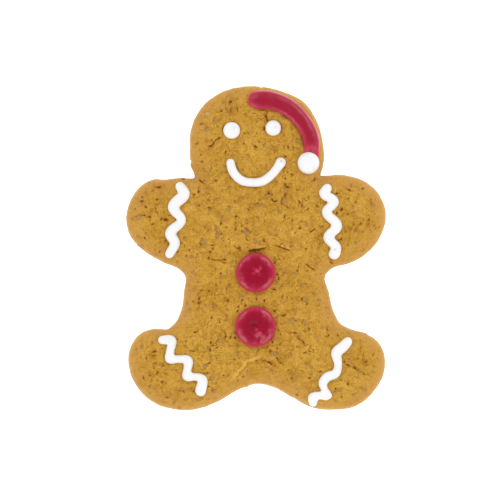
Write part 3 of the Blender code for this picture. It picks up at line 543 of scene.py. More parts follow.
class CrustSettings(bpy.types.PropertyGroup):
    """Sizes and colours of the baked biscuit."""

    step: length("Spacing", "Distance between the points of the plain crust", 0.46)
    side_step: length("Edge spacing", "Distance between the points round the biscuit's edge", 0.42)
    under_step: length("Underside spacing", "Distance between the points of the underside", 1.3)
    spacing: length("Mark spacing", "Least distance between two scattered marks", 0.9)
    crumb: length("Crumb", "Rise and fall of the fine crumb", 0.09)
    edge_roughness: length("Edge roughness", "Rise and fall of the biscuit's side", 0.22)
    seed: IntProperty(name="Seed", description="Draw of the scattered marks", default=7)
    ochre: colour("Ochre", "Well baked crust", "#cea03f")
    toasted: colour("Toasted", "What browner patches keep of the crust's colour", "#f1ead9")
    orange: colour("Orange", "Warmer flecks in the crust", "#d8a04c")
    olive: colour("Olive", "Duller flecks in the crust", "#c0922c")
    rim: colour("Rim", "Smooth, paler dough round the edge", "#c6934b")
    underside: colour("Underside", "Underside, browned on the tray", "#a8713a")
    side: colour("Side", "Drier, less browned side of the biscuit", "#c9a46d")
    # Painted highlights on ridge crests and flake lips, and the crust's own pale flecks
    crest_highlight_and_fleck: colour("Crest", "Crests of the ridges and lifted flakes", "#e0b254")
    # Multiplies in painted shade at dents, pits, cracks, creases and under ridges, and the crust's own
    # darker mottles
    shade: colour("Shade", "What soft dents keep of the crust's colour", "#c9ad80")
    # Dark floor of pits and cracks, and painted shade in them, in creases, grooves, gaps under flakes and
    # beside the icing
    char: colour("Char", "Floor of the pits and cracks", "#6f3408")
    grain: colour("Sugar grain", "Glassy grains of sugar", "#a1793a")
    # Painted glints on the grains, partly their uneven colour
    facet_glint_and_mottle: colour("Grain facet", "Brighter facets of the grains", "#b38e52")
    pale: colour("Pale speck", "Sugar specks on the surface", "#c9a260")


class IcingSettings(bpy.types.PropertyGroup):
    """Sizes and colours of the icing."""

    step: length("Spacing", "Distance between the points of the white icing", 0.3)
    red_step: length("Red spacing", "Distance between the points of the red icing", 0.22)
    white: colour("White", "White royal icing", "#f0f0f0")
    # Painted shade along the edges of white icing, and its own faint grey patches
    edge_shade_and_grey: colour("White in hollows", "Where white icing lies thin", "#e2e1e4")
    dimple: colour("White dimple", "Dimples in white icing, where the crust shows faintly", "#b3a390")
    red: colour("Red", "Red icing", "#a31635")
    deep_red: colour("Deep red", "Thick red icing, deeper in colour", "#960c2b")
    dimple_red: colour("Dimple red", "Dimples in red icing", "#740a20")
    # Thin pulled tips of red icing, and a painted pink sheen along its edges
    thin_red_and_edge_sheen: colour("Thin red", "Pulled tips and thin edges of red icing", "#de2e55")


class StudioSettings(bpy.types.PropertyGroup):
    """The floor, the lights and the camera."""

    floor: colour("Floor", "Pale floor", "#f4f4f4")
    floor_glow: number("Floor glow", "Light that the pale floor gives off itself", 0.65)
    walls: number("Walls", "Brightness of the white walls of the light tent", 0.85)
    ceiling: number("Ceiling", "Brightness of the tent's open top", 0.1)
    lamps: number("Lamps", "Power of each soft lamp, in watts", 0.77)
    view_width: length("View width", "Width of the picture a little below the biscuit's top", 169.2)
    lens: number("Lens", "Focal length of the camera, in millimetres", 300.0)


# ---- lines in plan ----


def smooth_curve(anchors, step, closed=False):
    """Points at most about a step apart on a smooth curve through the anchors. It keeps each anchor."""
    p = np.array(anchors, float)
    if closed:
        p = np.vstack([p[-1:], p, p[:2]])
    else:
        p = np.vstack([2 * p[0] - p[1], p, 2 * p[-1] - p[-2]])
    leg = np.diff(p, axis=0)
    long = np.linalg.norm(leg, axis=1)[:, None]
    slope = (leg[:-1] / long[:-1] * long[1:] + leg[1:] / long[1:] * long[:-1]) / (long[:-1] + long[1:])
    points = []
    for i in range(1, len(p) - 2):
        span = long[i, 0]
        count = max(1, round(span / step))
        for t in np.arange(count)[:, None] / count:
            points.append(
                (2 * t**3 - 3 * t**2 + 1) * p[i]
                + (t**3 - 2 * t**2 + t) * span * slope[i - 1]
                + (3 * t**2 - 2 * t**3) * p[i + 1]
                + (t**3 - t**2) * span * slope[i]
            )
    if not closed:
        points.append(p[-2])
    return np.array(points)


def evened(loop, step):
    """A closed line with its points moved to even distances of about a step."""
    ring = np.vstack([loop, loop[:1]])
    along = np.concatenate([[0], np.cumsum(np.linalg.norm(np.diff(ring, axis=0), axis=1))])
    count = max(12, round(along[-1] / step))
    spots = np.arange(count) / count * along[-1]
    return np.stack([np.interp(spots, along, ring[:, axis]) for axis in (0, 1)], axis=1)


def softened(values, passes):
    """Points or numbers along a closed line, with their kinks eased."""
    for _ in range(passes):
        values = 0.5 * values + 0.25 * (np.roll(values, 1, axis=0) + np.roll(values, -1, axis=0))
    return values


def inward(loop):
    """The unit normals of an anticlockwise loop, pointing into it."""
    along = np.roll(loop, -1, axis=0) - np.roll(loop, 1, axis=0)
    normal = np.stack([-along[:, 1], along[:, 0]], axis=1)
    return normal / np.linalg.norm(normal, axis=1)[:, None]


def widest_loop(node):
    """The outline of a solid in plan, anticlockwise."""
    near = 0.25  # points closer together than this count as one
    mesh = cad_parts[node].data
    plan = [vertex.co.xy / MM for vertex in mesh.vertices]
    up = [list(face.vertices) for face in mesh.polygons if face.normal.z > 0.02]
    spots, _, faces, _, _, _ = delaunay_2d_cdt(plan, [], up, 1, 1e-3)
    sides = {(face[i - 1], face[i]) for face in faces for i in range(len(face))}
    onward = {start: end for start, end in sides if (end, start) not in sides}
    loops = []
    while onward:
        walk = [next(iter(onward))]
        while walk[-1] in onward:
            walk.append(onward.pop(walk[-1]))
        loops.append(walk)
    loop = [spots[max(loops, key=len)[0]]]
    for index in max(loops, key=len)[1:-1]:
        if (spots[index] - loop[-1]).length > near:
            loop.append(spots[index])
    if (loop[-1] - loop[0]).length < near:
        loop.pop()
    return np.array(loop)


def search_tree(line):
    """A tree that finds the point of a line in plan that is nearest to a place."""
    tree = kdtree.KDTree(len(line))
    for index, (x, y) in enumerate(line):
        tree.insert((x, y, 0), index)
    tree.balance()
    return tree


class Border:
    """A closed line in plan that tells how far inside it points lie."""

    def __init__(self, loop, step=0.12):
        self.line = smooth_curve(loop, step, closed=True)
        self.normals = inward(self.line)
        self.tree = search_tree(self.line)

    def depth(self, points):
        """How far each point is inside. It is below 0 outside."""
        found = [self.tree.find((x, y, 0))[1:] for x, y in points]
        nearest = np.array([index for index, _ in found], int)
        away = np.array([distance for _, distance in found])
        side = ((points - self.line[nearest]) * self.normals[nearest]).sum(1)
        return np.where(side > 0, away, -away)


def beside(points, line):
    """Share of the way along a line of points, and distance to its left, at the nearest spot on it."""
    line = np.array(line)
    ahead = np.diff(line, axis=0)
    long = np.linalg.norm(ahead, axis=1)
    offset = points[:, None, :] - line[None, :-1, :]
    share = np.clip((offset * ahead).sum(2) / long**2, 0, 1)
    away = np.linalg.norm(offset - share[:, :, None] * ahead, axis=2)
    nearest = away.argmin(1)
    pick = np.arange(len(points)), nearest
    before = np.concatenate([[0], np.cumsum(long)])[nearest]
    along = (before + share[pick] * long[nearest]) / long.sum()
    turn = offset[pick][:, 1] * ahead[nearest, 0] - offset[pick][:, 0] * ahead[nearest, 1]
    return along, np.where(turn > 0, away[pick], -away[pick])


def lumps(points, size, seed):
    """Smooth noise from -1 to 1 at each point, with lumps of about this size."""
    scaled = np.column_stack([points, np.zeros(len(points))])[:, :3] / size
    return np.array([noise.noise(Vector((x, y, z + seed))) for x, y, z in scaled])


def layered(points, layers):
    """The sum of several layers of lumps, each given by its share, its size and its seed."""
    return sum(share * lumps(points, size, seed) for share, size, seed in layers)


def triangular_grid(low, high, step):
    """Points of a grid over a box, and for each the coarsest grid that it is on: 1, 2 or 4 steps wide."""
    rows = np.arange(int((high[1] - low[1]) / (step * math.sqrt(0.75))) + 1)
    columns = np.arange(-len(rows) // 2, int((high[0] - low[0]) / step) + 1)
    column, row = (part.ravel() for part in np.meshgrid(columns, rows))
    grid = np.stack([low[0] + step * (column + row / 2), low[1] + step * math.sqrt(0.75) * row], axis=1)
    both = column | row
    coarse = np.where(both % 4 == 0, 4, np.where(both % 2 == 0, 2, 1))
    inside = (grid[:, 0] >= low[0]) & (grid[:, 0] <= high[0])
    return grid[inside], coarse[inside]


# ---- meshes ----


def fill(loop, inner):
    """Triangles in plan inside a loop, through the inner points. They index the loop, then the inner."""
    flat = [Vector(point[:2]) for point in (*loop, *inner)]
    border = [list(range(len(loop)))]
    _, _, faces, origin, _, _ = delaunay_2d_cdt(flat, [], border, 1, 1e-7)
    return [tuple(origin[corner][0] for corner in face) for face in faces]


def bridge(rings, count):
    """Faces between rings of points that follow each other."""
    faces = []
    for base in range(0, (rings - 1) * count, count):
        for i in range(count):
            j = (i + 1) % count
            faces.append((base + i, base + j, base + count + j, base + count + i))
    return faces


def with_height(points, height):
    """Points in plan, raised to a height each or to one height for all."""
    return np.column_stack([points, np.broadcast_to(height, len(points))])


def into_scene(name, data):
    """A new object in the scene that shows this mesh, lamp or camera."""
    thing = bpy.data.objects.new(name, data)
    bpy.context.scene.collection.objects.link(thing)
    return thing


def put_together(name, points, faces, material, tints):
    """A smooth piece from points in millimetres, with a value per point for each tint."""
    mesh = bpy.data.meshes.new(name)
    mesh.from_pydata((points * MM).tolist(), [], faces)
    mesh.shade_smooth()
    for tint, values in tints.items():
        attribute = mesh.attributes.new(tint, "FLOAT", "POINT")
        attribute.data.foreach_set("value", np.asarray(values, np.float32))
    mesh.materials.append(material)
    return into_scene(name, mesh)


def stand_for(piece, node):
    """The piece rides on the part and takes the place of its solid."""
    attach(piece, "root")
    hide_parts(node)


# ---- the crust ----


def crust_height(points, inside):
    """Height of the crust's top before its cracks and marks, from how far inside the edge points are."""
    rise = np.clip(inside / SHOULDER, 0, 1)
    height = EDGE_HEIGHT + (THICKNESS - EDGE_HEIGHT) * np.sqrt(1 - (1 - rise) ** 2)
    return height + UNEVENNESS * rise * lumps(points / UNEVEN_LENGTH, 1.0, UNEVEN_SEED)


def pressed_in(points):
    """How far the folds and cracks press the crust in."""
    depth = np.zeros(len(points))
    for line, deepest, width in CRACKS.values():
        _, left = beside(points, line)
        depth = np.maximum(depth, deepest * np.exp(-FOLD_FALLOFF * (left / width) ** 2))
    return depth


def ridge_rise(points):
    """How far the ridges and lifted flakes stand up, and their tints: painted highlights on their crests,
    painted shade under their steep sides, and painted shadows in the gaps under the flakes. They fade
    towards both ends."""
    rise, crest_highlight_and_fleck, shade, gap_shadow = np.zeros((4, len(points)))
    broken = np.clip(0.5 + 1.3 * lumps(points, BREAK_SIZE, 53), 0, 1.1)
    highlight_strength, highlight_width = RIDGE_HIGHLIGHT
    lip_inset, lip_width = FLAKE_LIP_HIGHLIGHT
    for line, height, left_slope, right_slope in RIDGES.values():
        along, left = beside(points, line)
        fade = 4 * along * (1 - along)
        across = np.where(left > 0, left / left_slope, -left / right_slope)
        lip_highlight = highlight_strength * fade**0.3 * np.exp(-((left / highlight_width) ** 2))
        under = fade**0.5 * np.exp(-(((left + 0.25 + 0.4 * right_slope) / GAP_WIDTH) ** 2))
        if right_slope < FLAKE_SLOPE:
            fade = fade * broken
            share = height / FULL_FLAKE
            lip_highlight = share**1.5 * fade**0.5 * np.exp(-(((left - lip_inset) / lip_width) ** 2))
            gap_shadow = np.maximum(gap_shadow, GAP_SHADOW * min(1, share) * under)
        rise = np.maximum(rise, height * fade * np.exp(-across))
        crest_highlight_and_fleck = np.maximum(crest_highlight_and_fleck, lip_highlight)
        shade = np.maximum(shade, under * min(1, 0.7 / right_slope))
    return rise, {"crest_highlight_and_fleck": crest_highlight_and_fleck, "shade": shade, "char": gap_shadow}


def creased(points):
    """How strongly the fine creases mark the crust. They are thinnest at both ends."""
    strength = np.zeros(len(points))
    for line, strongest in CREASES:
        along, left = beside(points, line)
        width = CREASE_WIDTH * (0.4 + 2.4 * along * (1 - along))
        ends = np.clip(6 * along, 0, 1) * np.clip(6 * (1 - along), 0, 1)
        strength = np.maximum(strength, strongest * ends * np.exp(-((left / width) ** 2)))
    return strength


def scatter_marks(border, lids, settings):
    """The marks that stand out, and smaller ones scattered over the bare crust between them."""
    draw = random.Random(settings.seed)
    marks = [
        Mark(kind, x, y, turn, half_length * STANDOUT_SCALE, half_width * STANDOUT_SCALE, *bend)
        for place in STANDOUTS.values()
        for kind, group in place.items()
        for x, y, turn, half_length, half_width, *bend in group
    ]
    spots = [(mark.x, mark.y) for mark in marks]
    low, high = border.line.min(0), border.line.max(0)
    spacing = settings.spacing / MM

    def bare(spot, room):
        if np.linalg.norm(np.array(spots) - spot, axis=1).min() < room:
            return False
        return not any(lid.depth(spot[None])[0] > -ICING_ROOM for lid in lids)

    def scatter(kind, spot):
        _, lengths, slimness, bend = SCATTER[kind]
        half_length = draw.uniform(*lengths) * draw.uniform(0.7, 1.0)
        half_width = half_length * draw.uniform(*slimness)
        turn, curve = draw.uniform(0, 180), draw.uniform(-bend, bend)
        strength = draw.uniform(WEAKEST, 1.0)
        marks.append(Mark(kind, *spot, turn, half_length, half_width, curve, strength))
        spots.append(tuple(spot))

    for middle, reach, count in CLUSTERS:
        placed = 0
        while placed < count:
            spot = np.array([draw.gauss(middle[axis], reach / 2) for axis in (0, 1)])
            clear = border.depth(spot[None])[0] > CLUSTER_TO_EDGE
            if clear and bare(spot, CLUSTER_CROWDING * spacing):
                scatter("pit", spot)
                placed += 1
    for kind, (count, *_) in SCATTER.items():
        placed = 0
        while placed < count:
            spot = np.array([draw.uniform(low[axis], high[axis]) for axis in (0, 1)])
            chance = draw.random()
            if chance < border.depth(spot[None])[0] / SHOULDER and bare(spot, spacing):
                scatter(kind, spot)
                placed += 1
    return marks


def mark_reach(mark, points):
    """Which points are near a mark, and how far along and across it they are, in half sizes."""
    reach = MARK_REACH * max(mark.half_length, mark.half_width) + abs(mark.bend)
    near = np.flatnonzero((abs(points[:, 0] - mark.x) < reach) & (abs(points[:, 1] - mark.y) < reach))
    offset = points[near] - (mark.x, mark.y)
    angle = math.radians(mark.turn)
    along = (offset[:, 0] * math.cos(angle) + offset[:, 1] * math.sin(angle)) / mark.half_length
    across = offset[:, 1] * math.cos(angle) - offset[:, 0] * math.sin(angle)
    return near, along, (across - mark.bend * (along**2 - 0.5)) / mark.half_width


def wandered(points, size, by):
    """The points, each moved by noise of this size, so that what is drawn over them gets uneven edges."""
    return points + by * np.stack([lumps(points, size, seed) for seed in (31, 47)], axis=1)


def press_marks(marks, points):
    """The relief and the tints that all marks give to the points."""
    relief = np.zeros(len(points))
    tints = {tint: np.zeros(len(points)) for tint in TINTS}
    uneven = wandered(points, WARP_SIZE, WARP)
    groove_at, groove_width = GROOVE
    for mark in marks:
        near, along, across = mark_reach(mark, uneven)
        depth, squareness, kind_tints = KINDS[mark.kind]
        out = (abs(along) ** squareness + abs(across) ** squareness) ** (1 / squareness)
        press = mark.strength * depth * min(1.0, 2 * mark.half_width)
        relief[near] -= press * np.exp(-MARK_FALLOFF * out**3)
        for tint, (strength, spread) in kind_tints.items():
            share = mark.strength * strength * np.exp(-MARK_FALLOFF * (out / spread) ** 3)
            tints[tint][near] = np.maximum(tints[tint][near], share)
        # The groove on one side of a grain or speck is painted with shadow.
        if mark.kind in ("grain", "speck"):
            lee = np.clip(0.3 + 0.7 * across / (out + 0.01), 0, 1)
            groove = mark.strength * lee * np.exp(-(((out - groove_at) / groove_width) ** 2))
            relief[near] -= GROOVE_DEPTH * groove
            tints["char"][near] = np.maximum(tints["char"][near], GROOVE_SHADOW * groove)
    return relief, tints


def chipped(line, normals):
    """The edge, set in where it is chipped and out where a crumb sits on it."""
    inset = np.zeros(len(line))
    for place, reach, depth in CHIPS:
        inset += depth * np.exp(-3 * (np.linalg.norm(line - place, axis=1) / reach) ** 2)
    return line + normals * inset[:, None]


def side_rings(border, settings):
    """Rings of points in plan and height up the biscuit's side to its shoulder, and their insets."""
    edge = softened(evened(border.line, settings.side_step / MM), 1)
    normals = inward(edge)
    edge = chipped(edge, normals)
    profile = [tuple(point) for point in smooth_curve(SIDE, 0.4)]
    angles = np.arange(1, ARC_RINGS + 1) / ARC_RINGS * SHOULDER_END
    rise = THICKNESS - EDGE_HEIGHT
    arc = [(SHOULDER * (1 - math.cos(a)), EDGE_HEIGHT + rise * math.sin(a)) for a in angles]
    rough = settings.edge_roughness / MM
    rings = []
    for inset, height in [*profile, *arc]:
        ring = edge + normals * inset
        solid = with_height(ring, height)
        fade = math.sin(math.pi * min(1.0, 0.15 + height / THICKNESS * 0.7))
        bulge = rough * fade * layered(solid, SIDE_LUMPS)
        rings.append((ring - normals * bulge[:, None], height, inset))
    return rings


def top_points(border, lids, marks, last_inset, settings):
    """Points over the crust's top, closer together at the marks and cracks, and far apart under icing."""
    step = settings.step / MM
    grid, coarse = triangular_grid(border.line.min(0), border.line.max(0), step / 2)
    inside = border.depth(grid)
    kept = inside > last_inset + 0.35 * step
    grid, coarse, inside = grid[kept], coarse[kept], inside[kept]
    wanted = coarse >= 2
    for mark in marks:
        near, along, across = mark_reach(mark, grid)
        margin = min(0.3 / min(mark.half_length, mark.half_width), 1.0)
        wanted[near[np.hypot(along, across) < 1.0 + margin]] = True
    for line, _, width in CRACKS.values():
        wanted |= abs(beside(grid, line)[1]) < 0.5 * width
    for line, *_ in RIDGES.values():
        wanted |= abs(beside(grid, line)[1]) < FINE_BY_RIDGE
    for line, _ in CREASES:
        wanted |= abs(beside(grid, line)[1]) < FINE_BY_CREASE
    for lid in lids:
        low, high = lid.line.min(0), lid.line.max(0)
        near = np.flatnonzero(((grid > low) & (grid < high)).all(1))
        under = near[lid.depth(grid[near]) > COARSE_UNDER_ICING]
        wanted[under] = coarse[under] == 4
    grid, inside = grid[wanted], inside[wanted]
    wander = np.random.default_rng(settings.seed).uniform(-GRID_WANDER, GRID_WANDER, grid.shape)
    return grid + wander * step, inside


def painted_contact_shadow(points):
    """How dark the painted shadow on the crust beside the icing is: strongest at its edge, and only in some
    places.
    """
    edges = [smooth_curve(widest_loop(node), 0.2, closed=True) for node in ICING]
    tree = search_tree(np.vstack(edges))
    away = np.array([tree.find((x, y, 0))[2] for x, y in points])
    strength = np.full(len(points), CONTACT_SHADOW_FAINT)
    for place, reach, strongest in CONTACT_SHADOWS:
        out = np.linalg.norm(points - place, axis=1) / reach
        strength = np.maximum(strength, strongest * np.exp(-(out**4)))
    return strength * np.exp(-((away / CONTACT_SHADOW_REACH) ** 2))


def bake_crust(settings):
    """The biscuit: its side in rings, its pitted top and its flat underside."""
    border = Border(widest_loop("biscuit"))
    lids = [Border(widest_loop(node), 0.4) for node in ICING]
    marks = scatter_marks(border, lids, settings)
    rings = side_rings(border, settings)
    last_ring, _, last_inset = rings[-1]
    top, inside = top_points(border, lids, marks, last_inset, settings)
    step = settings.under_step / MM
    under, _ = triangular_grid(border.line.min(0), border.line.max(0), step)
    under = under[border.depth(under) > SIDE[0][0] + 0.5 * step]

    shoulder = [(ring, inset) for ring, height, inset in rings if height > EDGE_HEIGHT + TOP_FROM]
    side = [with_height(ring, height) for ring, height, _ in rings[: -len(shoulder)]]
    raised = np.vstack([*(ring for ring, _ in shoulder), top])
    inside = np.concatenate([*(np.full(len(ring), inset) for ring, inset in shoulder), inside])
    relief, tints = press_marks(marks, raised)
    crumb = settings.crumb / MM * layered(raised, CRUMB_LUMPS) + layered(raised, SWELLS)
    uneven = wandered(raised, LINE_WARP_SIZE, LINE_WARP)
    rise, ridge_tints = ridge_rise(uneven)
    # Ridges, flakes and creases add painted highlights and painted shade to the tints.
    crease = creased(wandered(raised, CREASE_WARP_SIZE, CREASE_WARP))
    for tint, values in {**ridge_tints, "char": np.maximum(ridge_tints["char"], crease)}.items():
        tints[tint] = np.maximum(tints[tint], values) if tint in tints else values
    height = crust_height(raised, inside) - pressed_in(uneven) + rise - CREASE_DEPTH * crease
    height += np.clip(inside / SMOOTH_EDGE, 0.2, 1) * (relief + crumb)
    bump, size, seed = UNDERSIDE_BUMPS
    floor = with_height(under, bump * (1 + lumps(under, size, seed)))
    points = np.vstack([*side, with_height(raised, height), floor])

    count = len(last_ring)
    top_index = [*range((len(rings) - 1) * count, len(rings) * count + len(top))]
    under_index = [*range(count), *range(len(points) - len(under), len(points))]
    faces = bridge(len(rings), count)
    faces += [tuple(top_index[corner] for corner in face) for face in fill(last_ring, top)]
    faces += [tuple(under_index[corner] for corner in face[::-1]) for face in fill(rings[0][0], under)]
    tints["rim"] = 1 - np.clip(inside / RIM, 0, 1) ** RIM_EASE
    # painted shadow of the icing on the crust beside it
    tints["contact_shadow"] = painted_contact_shadow(raised)
    below, beneath = np.zeros(len(side) * count), np.zeros(len(under))
    tints = {tint: np.concatenate([below, values, beneath]) for tint, values in tints.items()}
    tints["rim"][: len(below)] = 1
    piece = put_together("baked_biscuit", points, faces, gingerbread_crust(settings), tints)
    stand_for(piece, "biscuit")


# ---- the icing ----


def membrane(points, faces, fixed):
    """Height of a skin blown up evenly over a flat mesh, held down at its first points."""
    corners = np.array([face for face in faces if len(face) == 3])
    p = points[corners]
    size = len(points)
    one_side, other_side = p[:, 1] - p[:, 0], p[:, 2] - p[:, 0]
    area = abs(one_side[:, 0] * other_side[:, 1] - one_side[:, 1] * other_side[:, 0]) / 2
    area = np.maximum(area, 1e-6)
    load = np.bincount(corners.ravel(), np.repeat(area / 3, 3), size)
    one, other, weight = [], [], []
    for k in range(3):
        i, j, opposite = corners[:, k], corners[:, (k + 1) % 3], p[:, (k + 2) % 3]
        a, b = points[i] - opposite, points[j] - opposite
        cotangent = (a * b).sum(1) / (2 * area)
        one += [i, j]
        other += [j, i]
        weight += [cotangent / 2, cotangent / 2]
    one, other, weight = (np.concatenate(part) for part in (one, other, weight))
    whole = np.bincount(one, weight, size)
    free = np.ones(size)
    free[:fixed] = 0

    def pull(u):
        return free * (whole * u - np.bincount(one, weight * u[other], size))

    u = np.zeros(size)
    rest = free * load
    heading = rest.copy()
    left = rest @ rest
    while left > SETTLED * size:
        pulled = pull(heading)
        share = left / (heading @ pulled)
        u += share * heading
        rest -= share * pulled
        now = rest @ rest
        heading = rest + now / left * heading
        left = now
    return u


def room_inside(loop, normals, border):
    """Share of the widest inset that each point of a loop has room for."""
    widest = CROWN_INSETS[-1]
    room = np.full(len(loop), 0.02)
    fits = np.full(len(loop), True)
    for inset in np.linspace(0.1, 1.0, 10) * widest:
        fits &= border.depth(loop + normals * inset) > 0.8 * inset
        room[fits] = inset
    room = np.minimum.reduce([np.roll(room, shift) for shift in range(-2, 3)])
    return softened(room, 6) / widest


def pipe(node, outline, step):
    """A piece of icing with a rounded back over its outline in plan, set a little into the crust.

    The hat's back is level, as its thick icing evens out the crust's shoulder under it.
    """
    settings = bpy.context.scene.gingerbread_icing
    slot, height, belly, squareness = ICING[node]
    biscuit = Border(widest_loop("biscuit"))
    loop = softened(evened(smooth_curve(outline, step / 2, closed=True), step), 2)
    normals = inward(loop)
    border = Border(loop)
    normals *= room_inside(loop, normals, border)[:, None]
    grid, _ = triangular_grid(loop.min(0), loop.max(0), step)
    grid = grid[border.depth(grid) > CROWN_INSETS[-1] + 0.45 * step]
    crown = np.vstack([*(loop + normals * inset for inset in CROWN_INSETS), grid])
    triangles = fill(loop, crown)
    plan = np.vstack([loop, crown])
    swell = membrane(plan, triangles, len(loop))
    spread = np.sqrt(np.clip(1 - swell / swell.max(), 0, 1))
    dome = (1 - spread**squareness) ** (1 / squareness)
    level = dome if node == "hat" else 0.0
    seat = crust_height(plan, np.maximum(biscuit.depth(plan), SHOULDER * level))
    rise = height * (belly + (1 - belly) * dome)
    rise += RIPPLE * height * dome * lumps(plan, RIPPLE_LENGTH, len(loop))
    tip = np.zeros(len(plan))
    dip = np.zeros(len(plan))
    for place, reach, lift in NOZZLE_MARKS.get(node, ()):
        near = np.exp(-2.5 * (np.linalg.norm(plan - place, axis=1) / reach) ** 2) * dome
        rise += lift * near
        side = tip if lift > 0 else dip
        np.maximum(side, near * min(1.0, abs(lift) / FULL_LIFT), out=side)
    back = with_height(plan, seat + rise)
    foot = []
    for inset, share in UNDERCUT:
        ring = loop + normals * inset
        seat = crust_height(ring, biscuit.depth(ring))
        foot.append(with_height(ring, seat + share * belly * height))
    points = np.vstack([*foot, back])
    count = len(loop)
    base = len(foot) * count
    faces = bridge(len(foot) + 1, count)
    faces += [tuple(base + corner for corner in face) for face in triangles]
    faces += [face[::-1] for face in fill(foot[0], ())]
    hidden = np.zeros(base)
    thick = np.clip((rise - THICK_FROM) / THICK_OVER, 0, 1)
    # The edge tint carries painted shade on white icing and a painted pink sheen on red icing.
    tints = {"tip": tip, "dip": dip, "edge": spread**6, "thick": thick}
    tints = {tint: np.concatenate([hidden, values]) for tint, values in tints.items()}
    finish = red_icing(settings, node) if slot == "red_icing" else royal_icing(settings)
    piece = put_together(f"{node}_icing", points, faces, finish, tints)
    stand_for(piece, node)


def pipe_each(nodes, step):
    """Like pieces of icing, each over the outline of its solid."""
    for node in nodes:
        pipe(node, widest_loop(node), step / MM)


# ---- finishes ----


def add(tree, kind, inputs=None, **settings):
    """A node with its settings, and its inputs, each given a value or linked to another node's socket."""
    node = tree.nodes.new(kind)
    for name, value in settings.items():
        setattr(node, name, value)
    for socket, value in (inputs or {}).items():
        if isinstance(value, bpy.types.NodeSocket):
            tree.links.new(node.inputs[socket], value)
        else:
            node.inputs[socket].default_value = value
    return node


def new_finish(name, tints=()):
    """An empty material, where each point lies in millimetres, and the tints that its mesh carries."""
    finish = bpy.data.materials.new(name)
    finish.use_nodes = True
    tree = finish.node_tree
    tree.nodes.clear()
    place = add(tree, "ShaderNodeTexCoord").outputs["Object"]
    place = add(tree, "ShaderNodeVectorMath", {0: place, 3: 1 / MM}, operation="SCALE").outputs[0]
    tint = {name: add(tree, "ShaderNodeAttribute", attribute_name=name).outputs["Fac"] for name in tints}
    return finish, tree, place, tint


def patches(tree, place, size, low, high, most=1.0, detail=2.0):
    """Patches of about this size in millimetres: 0 where their noise is below low, most where above high."""
    clouds = add(
        tree, "ShaderNodeTexNoise", {"Vector": place, "Scale": 1 / size, "Detail": detail, "Roughness": 0.6}
    )
    span = {"Value": clouds.outputs["Fac"], 1: low, 2: high, 3: 0.0, 4: most}
    return add(tree, "ShaderNodeMapRange", span).outputs[0]


def ragged(tree, place, tint, size, low, high, fray):
    """A tint cut off to clear edges, which noise of this size in millimetres frays."""
    grit = add(tree, "ShaderNodeTexNoise", {"Vector": place, "Scale": 1 / size, "Detail": 2.0})
    frayed = {0: grit.outputs["Fac"], 1: fray, 2: tint}
    frayed = add(tree, "ShaderNodeMath", frayed, operation="MULTIPLY_ADD").outputs[0]
    span = {"Value": frayed, 1: low + fray / 2, 2: high + fray / 2}
    return add(tree, "ShaderNodeMapRange", span).outputs[0]


def laid_over(tree, under, over, shares, blend="MIX"):
    """A colour laid over another one by the product of some shares."""
    share = shares[0]
    for other in shares[1:]:
        share = add(tree, "ShaderNodeMath", {0: share, 1: other}, operation="MULTIPLY").outputs[0]
    layer = {"Factor": share, 6: under, 7: over}
    return add(tree, "ShaderNodeMix", layer, data_type="RGBA", blend_type=blend).outputs[2]


def skinned(finish, tree, relief, strength, depth, inputs):
    """The finish with its shader, whose skin has a fine relief of this depth in millimetres."""
    bump = {"Strength": strength, "Distance": depth * MM, "Height": relief}
    bump = add(tree, "ShaderNodeBump", bump).outputs["Normal"]
    shader = add(tree, "ShaderNodeBsdfPrincipled", {**inputs, "Normal": bump})
    add(tree, "ShaderNodeOutputMaterial", {"Surface": shader.outputs["BSDF"]})
    return finish


